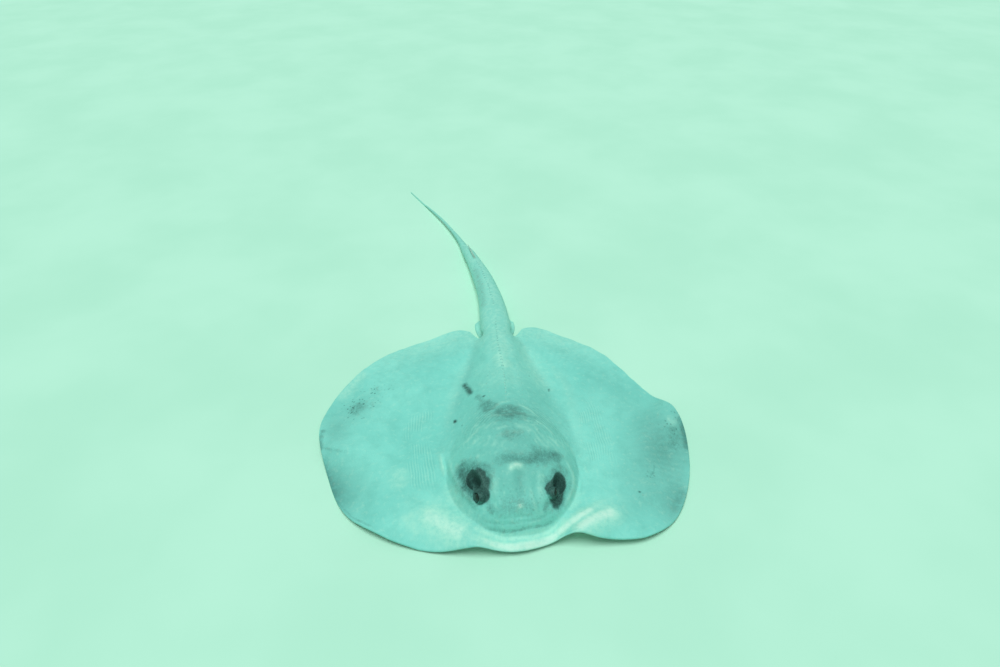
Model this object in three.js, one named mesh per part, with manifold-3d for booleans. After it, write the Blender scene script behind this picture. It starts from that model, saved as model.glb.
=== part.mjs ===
// A life-size stingray settled on level ground, as faceted solids for three.js.
// Millimetres, +Z up. The origin is on the ground under the middle of the belly. The snout points
// towards -Y and the tail towards +Y, so the animal's left side is at +X.
//
// The flesh is modelled whole: a flattened sphere is drawn out into the disc, a cylinder is bent into
// the tail, and the two are joined. Thin upright cuts then part it into head, trunk, wings and tail.

import * as THREE from "three";
import { mergeVertices } from "three/addons/utils/BufferGeometryUtils.js";
import Module from "manifold-3d";

const { clamp, degToRad, radToDeg, lerp, smoothstep } = THREE.MathUtils;
const wasm = await Module();
wasm.setup();

// ---- Driving dimensions ----

const DISC_WIDTH = 1000; // of the disc spread flat; the curled tips take a little off it
const TAIL_LENGTH = 1090; // along its bend, from the disc's hind edge to the tip
const GAP = 0.4; // width of the cuts between the pieces
const SINK = 2.5; // how far the belly and tail reach below the ground before the ground trims them

const SPOKES = 76; // facets round the disc
const RINGS = 18; // facets from the crown to the edge, on each face
const TAIL_SIDES = 12;
const TAIL_STATIONS = 32;

// ---- Disc ----

// The disc's edge as shares of its width, from the snout round each side to the tail. The left wing
// is drawn forward and its tip curls up, so the two sides differ.
const LEFT_EDGE = [
  [0.1, -0.386],
  [0.19, -0.396],
  [0.29, -0.392],
  [0.372, -0.345],
  [0.438, -0.236],
  [0.47, -0.11],
  [0.455, -0.02],
  [0.4, 0.118],
  [0.308, 0.27],
  [0.222, 0.352],
  [0.145, 0.4],
  [0.09, 0.388],
  [0.054, 0.345],
];
const RIGHT_EDGE = [
  [-0.1, -0.4],
  [-0.2, -0.387],
  [-0.31, -0.346],
  [-0.404, -0.272],
  [-0.464, -0.142],
  [-0.494, -0.03],
  [-0.49, 0.075],
  [-0.438, 0.195],
  [-0.322, 0.31],
  [-0.216, 0.372],
  [-0.14, 0.402],
  [-0.09, 0.388],
  [-0.054, 0.345],
];
const SNOUT = [0, -0.406];
const CROWN_Y = -150; // the disc's facets spread out from this point of the nape

const EDGE_THICK = 5;
const WING_ROOT = 54; // thickness of the wings where they leave the body
const WING_TAPER = 0.95;
const BELLY_REACH = 0.5; // share of the way from crown to edge that lies flat on the ground
const ARCH = 7; // how far the wings' underside rises between belly and edge

// Where the edge lifts off the ground. Bearings run round the crown from the snout, in degrees,
// positive on the left; slant turns a crest sideways on its way in from the edge.
const WAVES = [
  { name: "snout", bearing: 2, rise: 12, spread: 14, slant: 0 },
  { name: "left front ruffle", bearing: 29, rise: 40, spread: 9, slant: 60 },
  { name: "left front", bearing: 45, rise: 16, spread: 13, slant: 0 },
  { name: "left shoulder", bearing: 74, rise: 8, spread: 10, slant: 0 },
  { name: "left wing tip", bearing: 105, rise: 48, spread: 9, slant: -25 },
  { name: "left hind edge", bearing: 142, rise: 8, spread: 10, slant: 0 },
  { name: "left armpit", bearing: 172, rise: 20, spread: 6, slant: 0 },
  { name: "right front ruffle", bearing: -22, rise: 30, spread: 12, slant: -40 },
  { name: "right front", bearing: -60, rise: 15, spread: 13, slant: 0 },
  { name: "right wing tip", bearing: -103, rise: 26, spread: 9, slant: 25 },
  { name: "right hind edge", bearing: -138, rise: 10, spread: 11, slant: 0 },
  { name: "right armpit", bearing: -172, rise: 20, spread: 6, slant: 0 },
];

// What the head and the back add to the wings' thickness.
const HEAD = { y: -198, halfWidth: 164, halfLength: 178, rise: 88, roundness: 0.55, softening: 0.16 };
const BACK = { frontY: -250, nape: [-140, 205, 74], rump: [400, 58, 50] };

// ---- Tail ----

const TAIL_START_Y = 400;
const TAIL_ROOT_Y = 230; // inside the trunk
// The tail's middle line as shares of its length, sideways and back from the disc's hind edge.
const TAIL_LINE = [
  [-0.012, 0.19],
  [-0.062, 0.425],
  [-0.145, 0.665],
  [-0.283, 0.955],
];
// Half its width at shares of the line from root to tip: thick as far as the spine, a whip behind it.
const TAIL_HALF_WIDTHS = [
  [0, 50],
  [0.14, 47],
  [0.33, 36],
  [0.5, 23],
  [0.59, 10],
  [0.66, 6],
  [1, 2.4],
];
const TAIL_FLATNESS = [0.64, 0.9]; // height over width at the root and behind the spine
const TAIL_LIFT = { root: 8, until: 0.35 };
const TAIL_FOLD = { from: 0.56, to: 0.88, depth: 10, thick: 3 }; // fold of skin under the whip
const TAIL_CUTS = [0.17, 0.38, 0.58, 0.79];

// ---- Smaller parts ----

const EYE = { x: 83, y: -300, sunk: 5, radius: 14 };
const SPIRACLE = { x: 103, y: -264, halfWidth: 16, halfLength: 25, depth: 32, turn: 29 };
const PELVIC_FIN = { x: 39, y: 400, halfWidth: 22, halfLength: 62, thick: 8, turn: 10 };
const SPINE = { at: 0.445, length: 96, width: 8, thick: 3.6, teeth: 9, rise: 4 };

// ---- Solids and cuts ----

// A closed geometry as a solid that can be cut and joined.
function solid(geometry) {
  const bare = geometry.clone();
  bare.deleteAttribute("normal");
  bare.deleteAttribute("uv");
  const merged = mergeVertices(bare, 1e-3);
  return new wasm.Manifold(
    new wasm.Mesh({
      numProp: 3,
      vertProperties: merged.attributes.position.array,
      triVerts: new Uint32Array(merged.index.array),
    }),
  );
}

// A solid as a named mesh.
function meshOf(name, made, material) {
  const data = made.getMesh();
  const geometry = new THREE.BufferGeometry();
  geometry.setAttribute("position", new THREE.BufferAttribute(data.vertProperties, 3));
  geometry.setIndex(new THREE.BufferAttribute(data.triVerts, 1));
  geometry.computeVertexNormals();
  const mesh = new THREE.Mesh(geometry, material);
  mesh.name = name;
  return mesh;
}

// Moves every vertex of a geometry to where place() puts it.
function reshape(geometry, place) {
  const position = geometry.attributes.position;
  const at = new THREE.Vector3();
  for (let i = 0; i < position.count; i++) {
    place(at.fromBufferAttribute(position, i));
    position.setXYZ(i, at.x, at.y, at.z);
  }
  return geometry;
}

// An upright wall of the cuts' width over a line on the ground.
function cutAlong(points) {
  const line = new THREE.SplineCurve(points.map(([x, y]) => new THREE.Vector2(x, y)));
  const left = [];
  const right = [];
  const steps = 4 * (points.length - 1);
  for (let i = 0; i <= steps; i++) {
    const at = line.getPoint(i / steps);
    const along = line.getTangent(i / steps);
    const across = new THREE.Vector2(-along.y, along.x).multiplyScalar(GAP / 2);
    left.push(at.clone().add(across));
    right.unshift(at.clone().sub(across));
  }
  const wall = new THREE.ExtrudeGeometry(new THREE.Shape([...left, ...right]), {
    depth: 400,
    bevelEnabled: false,
  });
  return solid(wall.translate(0, 0, -100));
}

// ---- Disc ----

const edgeCurve = new THREE.CatmullRomCurve3(
  [SNOUT, ...LEFT_EDGE, ...RIGHT_EDGE.toReversed()].map(
    ([x, y]) => new THREE.Vector3(x * DISC_WIDTH, y * DISC_WIDTH, 0),
  ),
  true,
);
edgeCurve.arcLengthDivisions = 1200;

// A rounded hump over 0 to 1 that starts smoothly and rises steeply.
const dome = (u) => (u > 0 ? (u ** 2 / (u + HEAD.softening)) ** HEAD.roundness : 0);

function hump(x, y) {
  const head = HEAD.rise * dome(1 - (x / HEAD.halfWidth) ** 2 - ((y - HEAD.y) / HEAD.halfLength) ** 2);
  const [napeY, napeHalfWidth, napeRise] = BACK.nape;
  const [rumpY, rumpHalfWidth, rumpRise] = BACK.rump;
  const back = clamp((y - napeY) / (rumpY - napeY), 0, 1);
  const halfWidth = lerp(napeHalfWidth, rumpHalfWidth, back);
  const rise = lerp(napeRise, rumpRise, back ** 0.7) * smoothstep(y, BACK.frontY, napeY);
  const ridge = rise * Math.max(0, 1 - (x / halfWidth) ** 2) ** 1.6;
  return (head ** 4 + ridge ** 4) ** 0.25;
}

// Height of the disc's underside, out being the share of the way from crown to edge.
function underside(bearing, out) {
  const past = smoothstep(out, BELLY_REACH, 1);
  let lift = 0;
  for (const wave of WAVES) {
    const turned = bearing - wave.bearing - wave.slant * (1 - out);
    const off = (((turned % 360) + 540) % 360) - 180;
    lift += wave.rise * Math.exp(-((off / wave.spread) ** 2));
  }
  return past ** 2 * lift + ARCH * Math.sin(Math.PI * past) ** 2 - SINK * (1 - past);
}

function thickness(x, y, out) {
  return EDGE_THICK + (WING_ROOT - EDGE_THICK) * (1 - out ** 2) ** WING_TAPER + hump(x, y);
}

// The disc, swollen by grow so that it can cut its neighbours clear of itself.
function discGeometry(grow = 0) {
  const sphere = new THREE.SphereGeometry(1, SPOKES, 2 * RINGS).rotateX(Math.PI / 2);
  return reshape(sphere, (at) => {
    const share = 1 - Math.abs(Math.asin(clamp(at.z, -1, 1))) / (Math.PI / 2);
    const out = lerp(share, Math.sin((share * Math.PI) / 2), 0.6);
    const turn = (Math.atan2(at.x, -at.y) / (2 * Math.PI) + 1) % 1;
    const edge = edgeCurve.getPointAt(turn);
    const bearing = radToDeg(Math.atan2(edge.x, CROWN_Y - edge.y));
    const reach = Math.hypot(edge.x, edge.y - CROWN_Y);
    const x = edge.x * out;
    const y = CROWN_Y + (edge.y - CROWN_Y) * out;
    const low = underside(bearing, out);
    const face = Math.sign(Math.round(at.z * 1e6)); // 1 above, -1 below, 0 on the edge itself
    const height = [low, low + EDGE_THICK / 2, low + thickness(x, y, out)][face + 1];
    const widen = 1 + grow / reach;
    at.set(x * widen, CROWN_Y + (y - CROWN_Y) * widen, height + face * grow);
  });
}

// ---- Tail ----

const tailLine = new THREE.SplineCurve(
  [[0, (TAIL_ROOT_Y - TAIL_START_Y) / TAIL_LENGTH], [0, 0], ...TAIL_LINE].map(
    ([x, y]) => new THREE.Vector2(x * TAIL_LENGTH, TAIL_START_Y + y * TAIL_LENGTH),
  ),
);
tailLine.arcLengthDivisions = 600;

// A value read off a list of [share, value] pairs.
function readOff(pairs, share) {
  const next = Math.max(1, pairs.findIndex(([at]) => at >= share));
  const [from, low] = pairs[next - 1];
  const [to, high] = pairs[next];
  return lerp(low, high, smoothstep(share, from, to) * 0.35 + ((share - from) / (to - from)) * 0.65);
}

// The tail at a share of its line: its middle, the directions along and across it, half its width
// and height, and the depth of the fold below it.
function tailAt(share) {
  const { x, y } = tailLine.getPointAt(share);
  const heading = tailLine.getTangentAt(share);
  const halfWidth = readOff(TAIL_HALF_WIDTHS, share);
  const halfHeight = halfWidth * lerp(...TAIL_FLATNESS, Math.min(1, share / TAIL_FOLD.from));
  const within = clamp((share - TAIL_FOLD.from) / (TAIL_FOLD.to - TAIL_FOLD.from), 0, 1);
  const fold = TAIL_FOLD.depth * Math.sin(Math.PI * within ** 0.7) ** 0.8;
  const lift = TAIL_LIFT.root * (1 - smoothstep(share, 0, TAIL_LIFT.until));
  const sink = Math.min(SINK, halfHeight / 2) * (1 - clamp(fold, 0, 1));
  const middle = new THREE.Vector3(x, y, halfHeight + fold + lift - sink);
  const along = new THREE.Vector3(heading.x, heading.y, 0);
  const across = new THREE.Vector3(heading.y, -heading.x, 0);
  return { middle, along, across, halfWidth, halfHeight, fold };
}

function tailGeometry(grow = 0) {
  const rod = new THREE.CylinderGeometry(1, 1, 1, TAIL_SIDES, TAIL_STATIONS);
  return reshape(rod, (at) => {
    const { middle, across, halfWidth, halfHeight } = tailAt(at.y + 0.5);
    const side = at.x * (halfWidth + grow);
    const rise = at.z * (halfHeight + grow);
    at.copy(middle).addScaledVector(across, side).setZ(middle.z + rise);
  });
}

// The fold of skin that hangs from the whip to the ground.
function foldGeometry() {
  const blade = new THREE.BoxGeometry(TAIL_FOLD.thick, 1, 1, 1, 16, 1);
  return reshape(blade, (at) => {
    const { middle, across, halfHeight, fold } = tailAt(lerp(TAIL_FOLD.from, TAIL_FOLD.to, at.y + 0.5));
    const height = at.z < 0 ? middle.z - halfHeight - fold - 0.4 : middle.z;
    const side = at.x;
    at.copy(middle).addScaledVector(across, side).setZ(height);
  });
}

// A slab of the cuts' thickness across the tail.
function cutAcrossTail(share) {
  const { middle, along, across, halfWidth } = tailAt(share);
  const slab = new THREE.BoxGeometry(2 * halfWidth + 12, GAP, 300);
  const up = new THREE.Vector3(0, 0, 1);
  slab.applyMatrix4(new THREE.Matrix4().makeBasis(across, along, up).setPosition(middle));
  return solid(slab);
}

// ---- The flesh, whole ----

const ground = solid(new THREE.BoxGeometry(4000, 4000, 200).translate(0, 0, -100));
const wholeFlesh = solid(discGeometry())
  .add(solid(tailGeometry()))
  .add(solid(foldGeometry()))
  .subtract(ground);

// A thin upright column over a point of the ground.
const column = (x, y) => solid(new THREE.BoxGeometry(2, 2, 400).translate(x, y, 100));

const surfaceOver = (x, y) => wholeFlesh.intersect(column(x, y)).boundingBox().max[2];

// ---- Eyes and spiracles ----

function spiracle(mirror) {
  const hole = new THREE.SphereGeometry(1, 14, 8);
  hole.scale(SPIRACLE.halfWidth, SPIRACLE.halfLength, SPIRACLE.depth);
  hole.rotateZ(degToRad(-mirror * SPIRACLE.turn));
  const x = mirror * SPIRACLE.x;
  return solid(hole.translate(x, SPIRACLE.y, surfaceOver(x, SPIRACLE.y)));
}

function eyeball(mirror, grow = 0) {
  const ball = new THREE.SphereGeometry(EYE.radius + grow, 14, 10);
  const x = mirror * EYE.x;
  return solid(ball.translate(x, EYE.y, surfaceOver(x, EYE.y) - EYE.sunk));
}

// ---- The flesh, parted ----

const SIDE_CUT = [
  [50, 440],
  [62, 360],
  [98, 250],
  [150, 90],
  [176, -60],
  [166, -220],
  [134, -330],
  [104, -440],
];
const NECK_CUT = [
  [-190, -66],
  [0, -50],
  [190, -66],
];

let parted = wholeFlesh.subtract(cutAlong(NECK_CUT));
for (const mirror of [1, -1]) {
  parted = parted
    .subtract(cutAlong(SIDE_CUT.map(([x, y]) => [mirror * x, y])))
    .subtract(spiracle(mirror))
    .subtract(eyeball(mirror, GAP));
}
for (const share of TAIL_CUTS) parted = parted.subtract(cutAcrossTail(share));
const fleshPieces = parted.decompose();

// The piece of flesh that stands over a point of the ground.
function pieceOver(x, y) {
  const found = fleshPieces.filter((piece) => piece.intersect(column(x, y)).volume() > 1);
  if (found.length !== 1) throw new Error(`${found.length} pieces over ${x}, ${y}`);
  return found[0];
}

// ---- Pelvic fins and the tail's spine ----

function pelvicFin(mirror) {
  const lobe = new THREE.SphereGeometry(1, 18, 8).rotateX(Math.PI / 2);
  reshape(lobe, (at) => {
    const widening = 1 + 0.25 * at.y; // broadest towards the hind end
    const { halfWidth, halfLength, thick } = PELVIC_FIN;
    at.set(at.x * halfWidth * widening, at.y * halfLength, at.z * thick);
  });
  lobe.rotateZ(degToRad(-mirror * PELVIC_FIN.turn));
  lobe.translate(mirror * PELVIC_FIN.x, PELVIC_FIN.y, 1);
  return solid(lobe)
    .subtract(solid(discGeometry(GAP)))
    .subtract(solid(tailGeometry(GAP)))
    .subtract(ground);
}

// A flat blade with teeth along both edges, lying back along the tail.
function spineOutline() {
  const tooth = SPINE.length / (SPINE.teeth + 3);
  const edge = [];
  for (let i = 0; i < SPINE.teeth; i++) {
    const back = SPINE.length - (i + 1) * tooth;
    const half = (SPINE.width / 2) * lerp(0.4, 1, i / SPINE.teeth);
    edge.push([half, back], [half * 0.7, back - tooth * 0.15]);
  }
  edge.push([SPINE.width / 2, 0]);
  const far = edge.map(([x, y]) => [-x, y]).toReversed();
  return [[0, SPINE.length], ...edge, ...far].map(([x, y]) => new THREE.Vector2(x, y));
}

function spine() {
  const blade = new THREE.ExtrudeGeometry(new THREE.Shape(spineOutline()), {
    depth: SPINE.thick,
    bevelEnabled: false,
  });
  blade.rotateX(degToRad(SPINE.rise));
  const { middle, along, across, halfHeight } = tailAt(SPINE.at);
  const up = new THREE.Vector3(0, 0, 1);
  const place = new THREE.Matrix4().makeBasis(across, along, up);
  middle.z += halfHeight - SPINE.thick / 2;
  blade.applyMatrix4(place.setPosition(middle));
  return solid(blade).subtract(solid(tailGeometry(GAP)));
}

// ---- Materials and the finished group ----

const finish = (color, roughness) => new THREE.MeshStandardMaterial({ color, roughness, metalness: 0 });
const SKIN = finish(0x8fc9bd, 0.62);
const TAIL_SKIN = finish(0x79b0a6, 0.6);
const EYE_BLACK = finish(0x1b2624, 0.12);
const HORN = finish(0xb9c9b8, 0.45);

const ray = new THREE.Group();
ray.add(meshOf("head", pieceOver(0, -200), SKIN));
ray.add(meshOf("trunk", pieceOver(0, 60), SKIN));
for (const [mirror, side] of [
  [1, "left"],
  [-1, "right"],
]) {
  ray.add(meshOf(`wing_${side}`, pieceOver(mirror * 300, 0), SKIN));
  ray.add(meshOf(`pelvic_fin_${side}`, pelvicFin(mirror), SKIN));
  ray.add(meshOf(`eye_${side}`, eyeball(mirror), EYE_BLACK));
}
[...TAIL_CUTS.slice(1), 1].forEach((end, i) => {
  const { middle } = tailAt((TAIL_CUTS[i] + end) / 2);
  ray.add(meshOf(`tail_${i + 1}`, pieceOver(middle.x, middle.y), TAIL_SKIN));
});
ray.add(meshOf("tail_spine", spine(), HORN));

export default ray;
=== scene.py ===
"""A life-size stingray at rest on a plain floor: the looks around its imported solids.

Shapes are worked out in millimetres, in the solids' own frame, and made in metres. +Z is up, the
snout points to -Y and the animal's left side is at +X. In every pair of sides, 1 stands for left
and -1 for right.
"""

import math

import bmesh
import bpy
import numpy as np
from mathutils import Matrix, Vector
from mathutils.bvhtree import BVHTree


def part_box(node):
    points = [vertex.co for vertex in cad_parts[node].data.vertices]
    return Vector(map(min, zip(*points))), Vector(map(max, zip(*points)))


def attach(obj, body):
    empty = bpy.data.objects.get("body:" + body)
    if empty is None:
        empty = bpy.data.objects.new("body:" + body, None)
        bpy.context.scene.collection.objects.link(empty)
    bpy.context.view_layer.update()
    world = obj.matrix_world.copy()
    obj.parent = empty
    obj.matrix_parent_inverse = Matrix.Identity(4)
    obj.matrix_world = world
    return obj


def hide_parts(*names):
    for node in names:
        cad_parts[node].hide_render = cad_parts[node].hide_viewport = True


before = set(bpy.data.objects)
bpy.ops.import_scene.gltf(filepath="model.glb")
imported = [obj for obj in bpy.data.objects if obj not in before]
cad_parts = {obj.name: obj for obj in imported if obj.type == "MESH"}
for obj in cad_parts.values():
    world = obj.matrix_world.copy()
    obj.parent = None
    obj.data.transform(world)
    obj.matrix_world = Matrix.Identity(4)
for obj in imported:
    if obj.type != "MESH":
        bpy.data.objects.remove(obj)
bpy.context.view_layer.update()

MM = 0.001
SIDES = {"left": 1, "right": -1}

# ---- The disc's outline and the sizes that the solids share ----

DISC_WIDTH = 1000.0
SNOUT = (0, -0.406)
LEFT_EDGE = [
    (0.1, -0.386), (0.19, -0.396), (0.29, -0.392), (0.372, -0.345), (0.438, -0.236),
    (0.47, -0.11), (0.455, -0.02), (0.4, 0.118), (0.308, 0.27), (0.222, 0.352),
    (0.145, 0.4), (0.09, 0.388), (0.054, 0.345),
]
RIGHT_EDGE = [
    (-0.1, -0.4), (-0.2, -0.387), (-0.31, -0.346), (-0.404, -0.272), (-0.464, -0.142),
    (-0.494, -0.03), (-0.49, 0.075), (-0.438, 0.195), (-0.322, 0.31), (-0.216, 0.372),
    (-0.14, 0.402), (-0.09, 0.388), (-0.054, 0.345),
]
EDGE_INSET = 0.9985  # keeps the skin's edge just inside that of the solids
CROWN_Y = -150.0
EDGE_THICK = 5.0
WING_ROOT = 54.0
WING_TAPER = 0.95
BELLY_REACH = 0.5
ARCH = 7.0
SINK = 2.5
BELLY_Z = 0.2  # the belly's flat, a hair off the floor

# Lifts of the edge off the floor: bearing, rise, spread and slant.
WAVES = [
    (2, 12, 14, 0), (29, 40, 9, 60), (45, 16, 13, 0), (74, 8, 10, 0), (105, 48, 9, -25),
    (142, 8, 10, 0), (172, 20, 6, 0), (-22, 30, 12, -40), (-60, 15, 13, 0),
    (-103, 26, 9, 25), (-138, 10, 11, 0), (-172, 20, 6, 0),
]
HEAD_Y, HEAD_HALF_WIDTH, HEAD_HALF_LENGTH, HEAD_RISE = -198.0, 164.0, 178.0, 88.0
HEAD_ROUNDNESS, HEAD_SOFTENING = 0.55, 0.16
NAPE_Y, NAPE_HALF_WIDTH, NAPE_RISE, BACK_FRONT_Y = -140.0, 205.0, 74.0, -250.0
RUMP_Y, RUMP_HALF_WIDTH, RUMP_RISE = 400.0, 58.0, 50.0
HUMP_FOOT = 10.0

TAIL_LENGTH = 1090.0
TAIL_START_Y, TAIL_ROOT_Y = 400.0, 230.0
TAIL_LINE = [(-0.012, 0.19), (-0.062, 0.425), (-0.145, 0.665), (-0.283, 0.955)]
TAIL_HALF_WIDTHS = [(0, 50), (0.14, 47), (0.33, 36), (0.5, 23), (0.59, 10), (0.66, 6), (1, 2.4)]
TAIL_FLATNESS = (0.64, 0.9)
TAIL_LIFT, TAIL_LIFT_UNTIL = 8.0, 0.35
FOLD_FROM, FOLD_TO, FOLD_DEPTH = 0.56, 0.88, 10.0
STING_AT, STING_LENGTH, STING_WIDTH, STING_THICK = 0.445, 96.0, 8.0, 3.4

# ---- Numbers: smooth steps, noise and lines ----


def smoothstep(x, low, high):
    t = np.clip((x - low) / (high - low), 0, 1)
    return t * t * (3 - 2 * t)


def smooth_max(a, b, soft):
    """The larger of a and b, with the corner between them rounded over about soft."""
    return (a + b + np.sqrt((a - b) ** 2 + soft**2)) / 2


def circle(count):
    """Cosines and sines of count even turns."""
    turn = np.arange(count) / count * 2 * np.pi
    return np.cos(turn), np.sin(turn)


def unit(way):
    return way / np.linalg.norm(way)


def lattice(ix, iy, seed):
    """A repeatable number from -1 to 1 for each whole-number place."""
    h = (ix * 374761393 + iy * 668265263 + seed * 974634777) & 0xFFFFFFFF
    h = ((h ^ (h >> 13)) * 1274126177) & 0xFFFFFFFF
    return ((h ^ (h >> 16)) & 0xFFFF) / 32767.5 - 1


def noise(x, y, size, seed, octaves=1):
    """Smooth unevenness from about -1 to 1 whose lumps are about size across."""
    total, weight, norm = 0, 1.0, 0.0
    for octave in range(octaves):
        u, v = x / size * 2**octave, y / size * 2**octave
        iu, iv = np.floor(u).astype(np.int64), np.floor(v).astype(np.int64)
        fu, fv = u - iu, v - iv
        fu, fv = fu * fu * (3 - 2 * fu), fv * fv * (3 - 2 * fv)
        s = seed + 17 * octave
        low = lattice(iu, iv, s) * (1 - fu) + lattice(iu + 1, iv, s) * fu
        high = lattice(iu, iv + 1, s) * (1 - fu) + lattice(iu + 1, iv + 1, s) * fu
        total = total + weight * (low * (1 - fv) + high * fv)
        norm += weight
        weight *= 0.5
    return total / norm


def cubic(b, c, v0, v1, t):
    """A curve from b to c that sets out along v0 and arrives along v1."""
    return (2 * b - 2 * c + v0 + v1) * t**3 + (3 * c - 3 * b - 2 * v0 - v1) * t**2 + v0 * t + b


def shares_of(steps):
    return np.linspace(0, 1, steps, endpoint=False)[:, None]


def smooth_line(p, steps):
    """A uniform Catmull-Rom line through all of the points but the first and the last."""
    t = shares_of(steps)
    spans = [cubic(b, c, (c - a) / 2, (d - b) / 2, t) for a, b, c, d in zip(p, p[1:], p[2:], p[3:])]
    return np.vstack([*spans, p[-2:-1]])


def spline(points):
    """A smooth line through the points, as many short straight pieces."""
    p = np.array(points, float)
    return smooth_line(np.vstack([2 * p[0] - p[1], p, 2 * p[-1] - p[-2]]), 5)


def distances(line):
    """How far along a line each of its points lies."""
    return np.concatenate([[0], np.cumsum(np.hypot(*np.diff(line, axis=0).T))])


def off_line(x, y, line):
    """Each place's distance from a line, and how far along the line it is from 0 to 1."""
    best = np.full(x.shape, 1e9)
    share = np.zeros(x.shape)
    ends = distances(line)
    steps = np.hypot(*np.diff(line, axis=0).T)
    for (ax, ay), (bx, by), step, start in zip(line, line[1:], steps, ends):
        dx, dy = (bx - ax) / step, (by - ay) / step
        t = np.clip((x - ax) * dx + (y - ay) * dy, 0, step)
        off = np.hypot(x - ax - t * dx, y - ay - t * dy)
        nearer = off < best
        best[nearer] = off[nearer]
        share[nearer] = (start + t[nearer]) / ends[-1]
    return best, share


def stroke(x, y, points, width, fade):
    """A soft line through the points, 1 along its middle and 0 beyond about twice width.

    It fades to 0.15 over the given share of its length at each end.
    """
    line = spline(points)
    out = np.zeros(x.shape)
    low, high = line.min(0) - 3 * width, line.max(0) + 3 * width
    near = (x > low[0]) & (x < high[0]) & (y > low[1]) & (y < high[1])
    off, share = off_line(x[near], y[near], line)
    ends = smoothstep(share, 0, fade) * smoothstep(1 - share, 0, fade)
    out[near] = np.exp(-((off / width) ** 2)) * (0.15 + 0.85 * ends)
    return out


def blob(x, y, at, size, turn):
    """A soft oval spot."""
    c, s = math.cos(math.radians(turn)), math.sin(math.radians(turn))
    dx, dy = x - at[0], y - at[1]
    return np.exp(-(((c * dx + s * dy) / size[0]) ** 2) - ((c * dy - s * dx) / size[1]) ** 2)


# The tables of strokes hold a width, a height or strength, and the places that each runs through.
# The tables of spots hold a place, a size along and across, a turn in degrees, and a strength.


def sum_strokes(table, x, y, fade):
    total = np.zeros(x.shape)
    for width, height, *points in table.values():
        total += height * stroke(x, y, points, width, fade)
    return total


def sum_spots(table, x, y):
    total = np.zeros(x.shape)
    for *place, height in table.values():
        total += height * blob(x, y, *place)
    return total


def paint_strokes(table, x, y, fade):
    """The strongest stroke at each place. A row without places follows the fold of its name."""
    total = np.zeros(x.shape)
    for name, (width, strength, *points) in table.items():
        made = stroke(x, y, points or FOLDS[name][2:], width, fade)
        total = np.maximum(total, strength * made)
    return total


def paint_spots(table, x, y):
    """The strongest spot at each place."""
    total = np.zeros(x.shape)
    for *place, strength in table.values():
        total = np.maximum(total, strength * blob(x, y, *place))
    return total


# ---- The disc as a pair of height maps ----


def closed_curve(points, steps=60):
    """A closed centripetal Catmull-Rom curve as a fine polygon."""
    p = np.array(points, float) * DISC_WIDTH
    t = shares_of(steps)
    out = []
    for a, b, c, d in zip(np.roll(p, 1, 0), p, np.roll(p, -1, 0), np.roll(p, -2, 0)):
        ab, bc, cd = (np.sum((q - r) ** 2) ** 0.25 for q, r in ((a, b), (b, c), (c, d)))
        v0 = ((b - a) / ab - (c - a) / (ab + bc) + (c - b) / bc) * bc
        v1 = ((c - b) / bc - (d - b) / (bc + cd) + (d - c) / cd) * bc
        out.append(cubic(b, c, v0, v1, t))
    return np.vstack(out)


EDGE = closed_curve([SNOUT, *LEFT_EDGE, *RIGHT_EDGE[::-1]]) * EDGE_INSET
EDGE_CLOSED = np.vstack([EDGE, EDGE[:1]])
EDGE_FAR = distances(EDGE_CLOSED)
EDGE_LENGTH = EDGE_FAR[-1]
_bearings = np.degrees(np.arctan2(EDGE[:, 0], CROWN_Y - EDGE[:, 1]))
_order = np.argsort(_bearings)
EDGE_BEARINGS = _bearings[_order]
EDGE_REACH = np.hypot(EDGE[:, 0], EDGE[:, 1] - CROWN_Y)[_order]


def edge_at(turns):
    """Places on the edge, at shares of the way round it."""
    far = turns * EDGE_LENGTH
    return np.stack([np.interp(far, EDGE_FAR, EDGE_CLOSED[:, i]) for i in (0, 1)], 1)


def polar(x, y):
    """Bearing round the crown, share of the way out to the edge, and the edge's distance."""
    bearing = np.degrees(np.arctan2(x, CROWN_Y - y))
    reach = np.interp(bearing, EDGE_BEARINGS, EDGE_REACH, period=360)
    return bearing, np.hypot(x, y - CROWN_Y) / reach, reach


def hump(x, y):
    """How far the head and the back stand above the wings."""
    inside = np.maximum(1 - (x / HEAD_HALF_WIDTH) ** 2 - ((y - HEAD_Y) / HEAD_HALF_LENGTH) ** 2, 0)
    head = HEAD_RISE * (inside**2 / (inside + HEAD_SOFTENING)) ** HEAD_ROUNDNESS
    back = np.clip((y - NAPE_Y) / (RUMP_Y - NAPE_Y), 0, 1)
    half_width = NAPE_HALF_WIDTH + (RUMP_HALF_WIDTH - NAPE_HALF_WIDTH) * back
    rise = (NAPE_RISE + (RUMP_RISE - NAPE_RISE) * back**0.7) * smoothstep(y, BACK_FRONT_Y, NAPE_Y)
    ridge = rise * np.maximum(0, 1 - (x / half_width) ** 2) ** 1.6
    return (head**4 + ridge**4) ** 0.25


def soft_hump(x, y):
    """The hump with a rounded hollow along its foot, as high as before at its top."""
    top = math.hypot(HEAD_RISE, HUMP_FOOT) - HUMP_FOOT
    return (np.hypot(hump(x, y), HUMP_FOOT) - HUMP_FOOT) * HEAD_RISE / top


def underside(bearing, out):
    """Height of the lower face before its small ruffles: flat in the middle, lifted in waves."""
    past = smoothstep(out, BELLY_REACH, 1)
    lift = 0
    for at, rise, spread, slant in WAVES:
        off = (bearing - at - slant * (1 - out) + 180) % 360 - 180
        lift = lift + rise * np.exp(-((off / spread) ** 2))
    return past**2 * lift + ARCH * np.sin(np.pi * past) ** 2 - SINK * (1 - past)


def ruffle(x, y, out):
    """Small waves of the thin margin, the same on both faces."""
    rim = smoothstep(out, 0.8, 1)
    small = 2.2 * noise(x, y, 46, 3) + 1.1 * noise(x, y, 19, 4)
    return rim * small + 0.8 * smoothstep(out, 0.5, 0.8) * noise(x, y, 80, 5)


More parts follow.
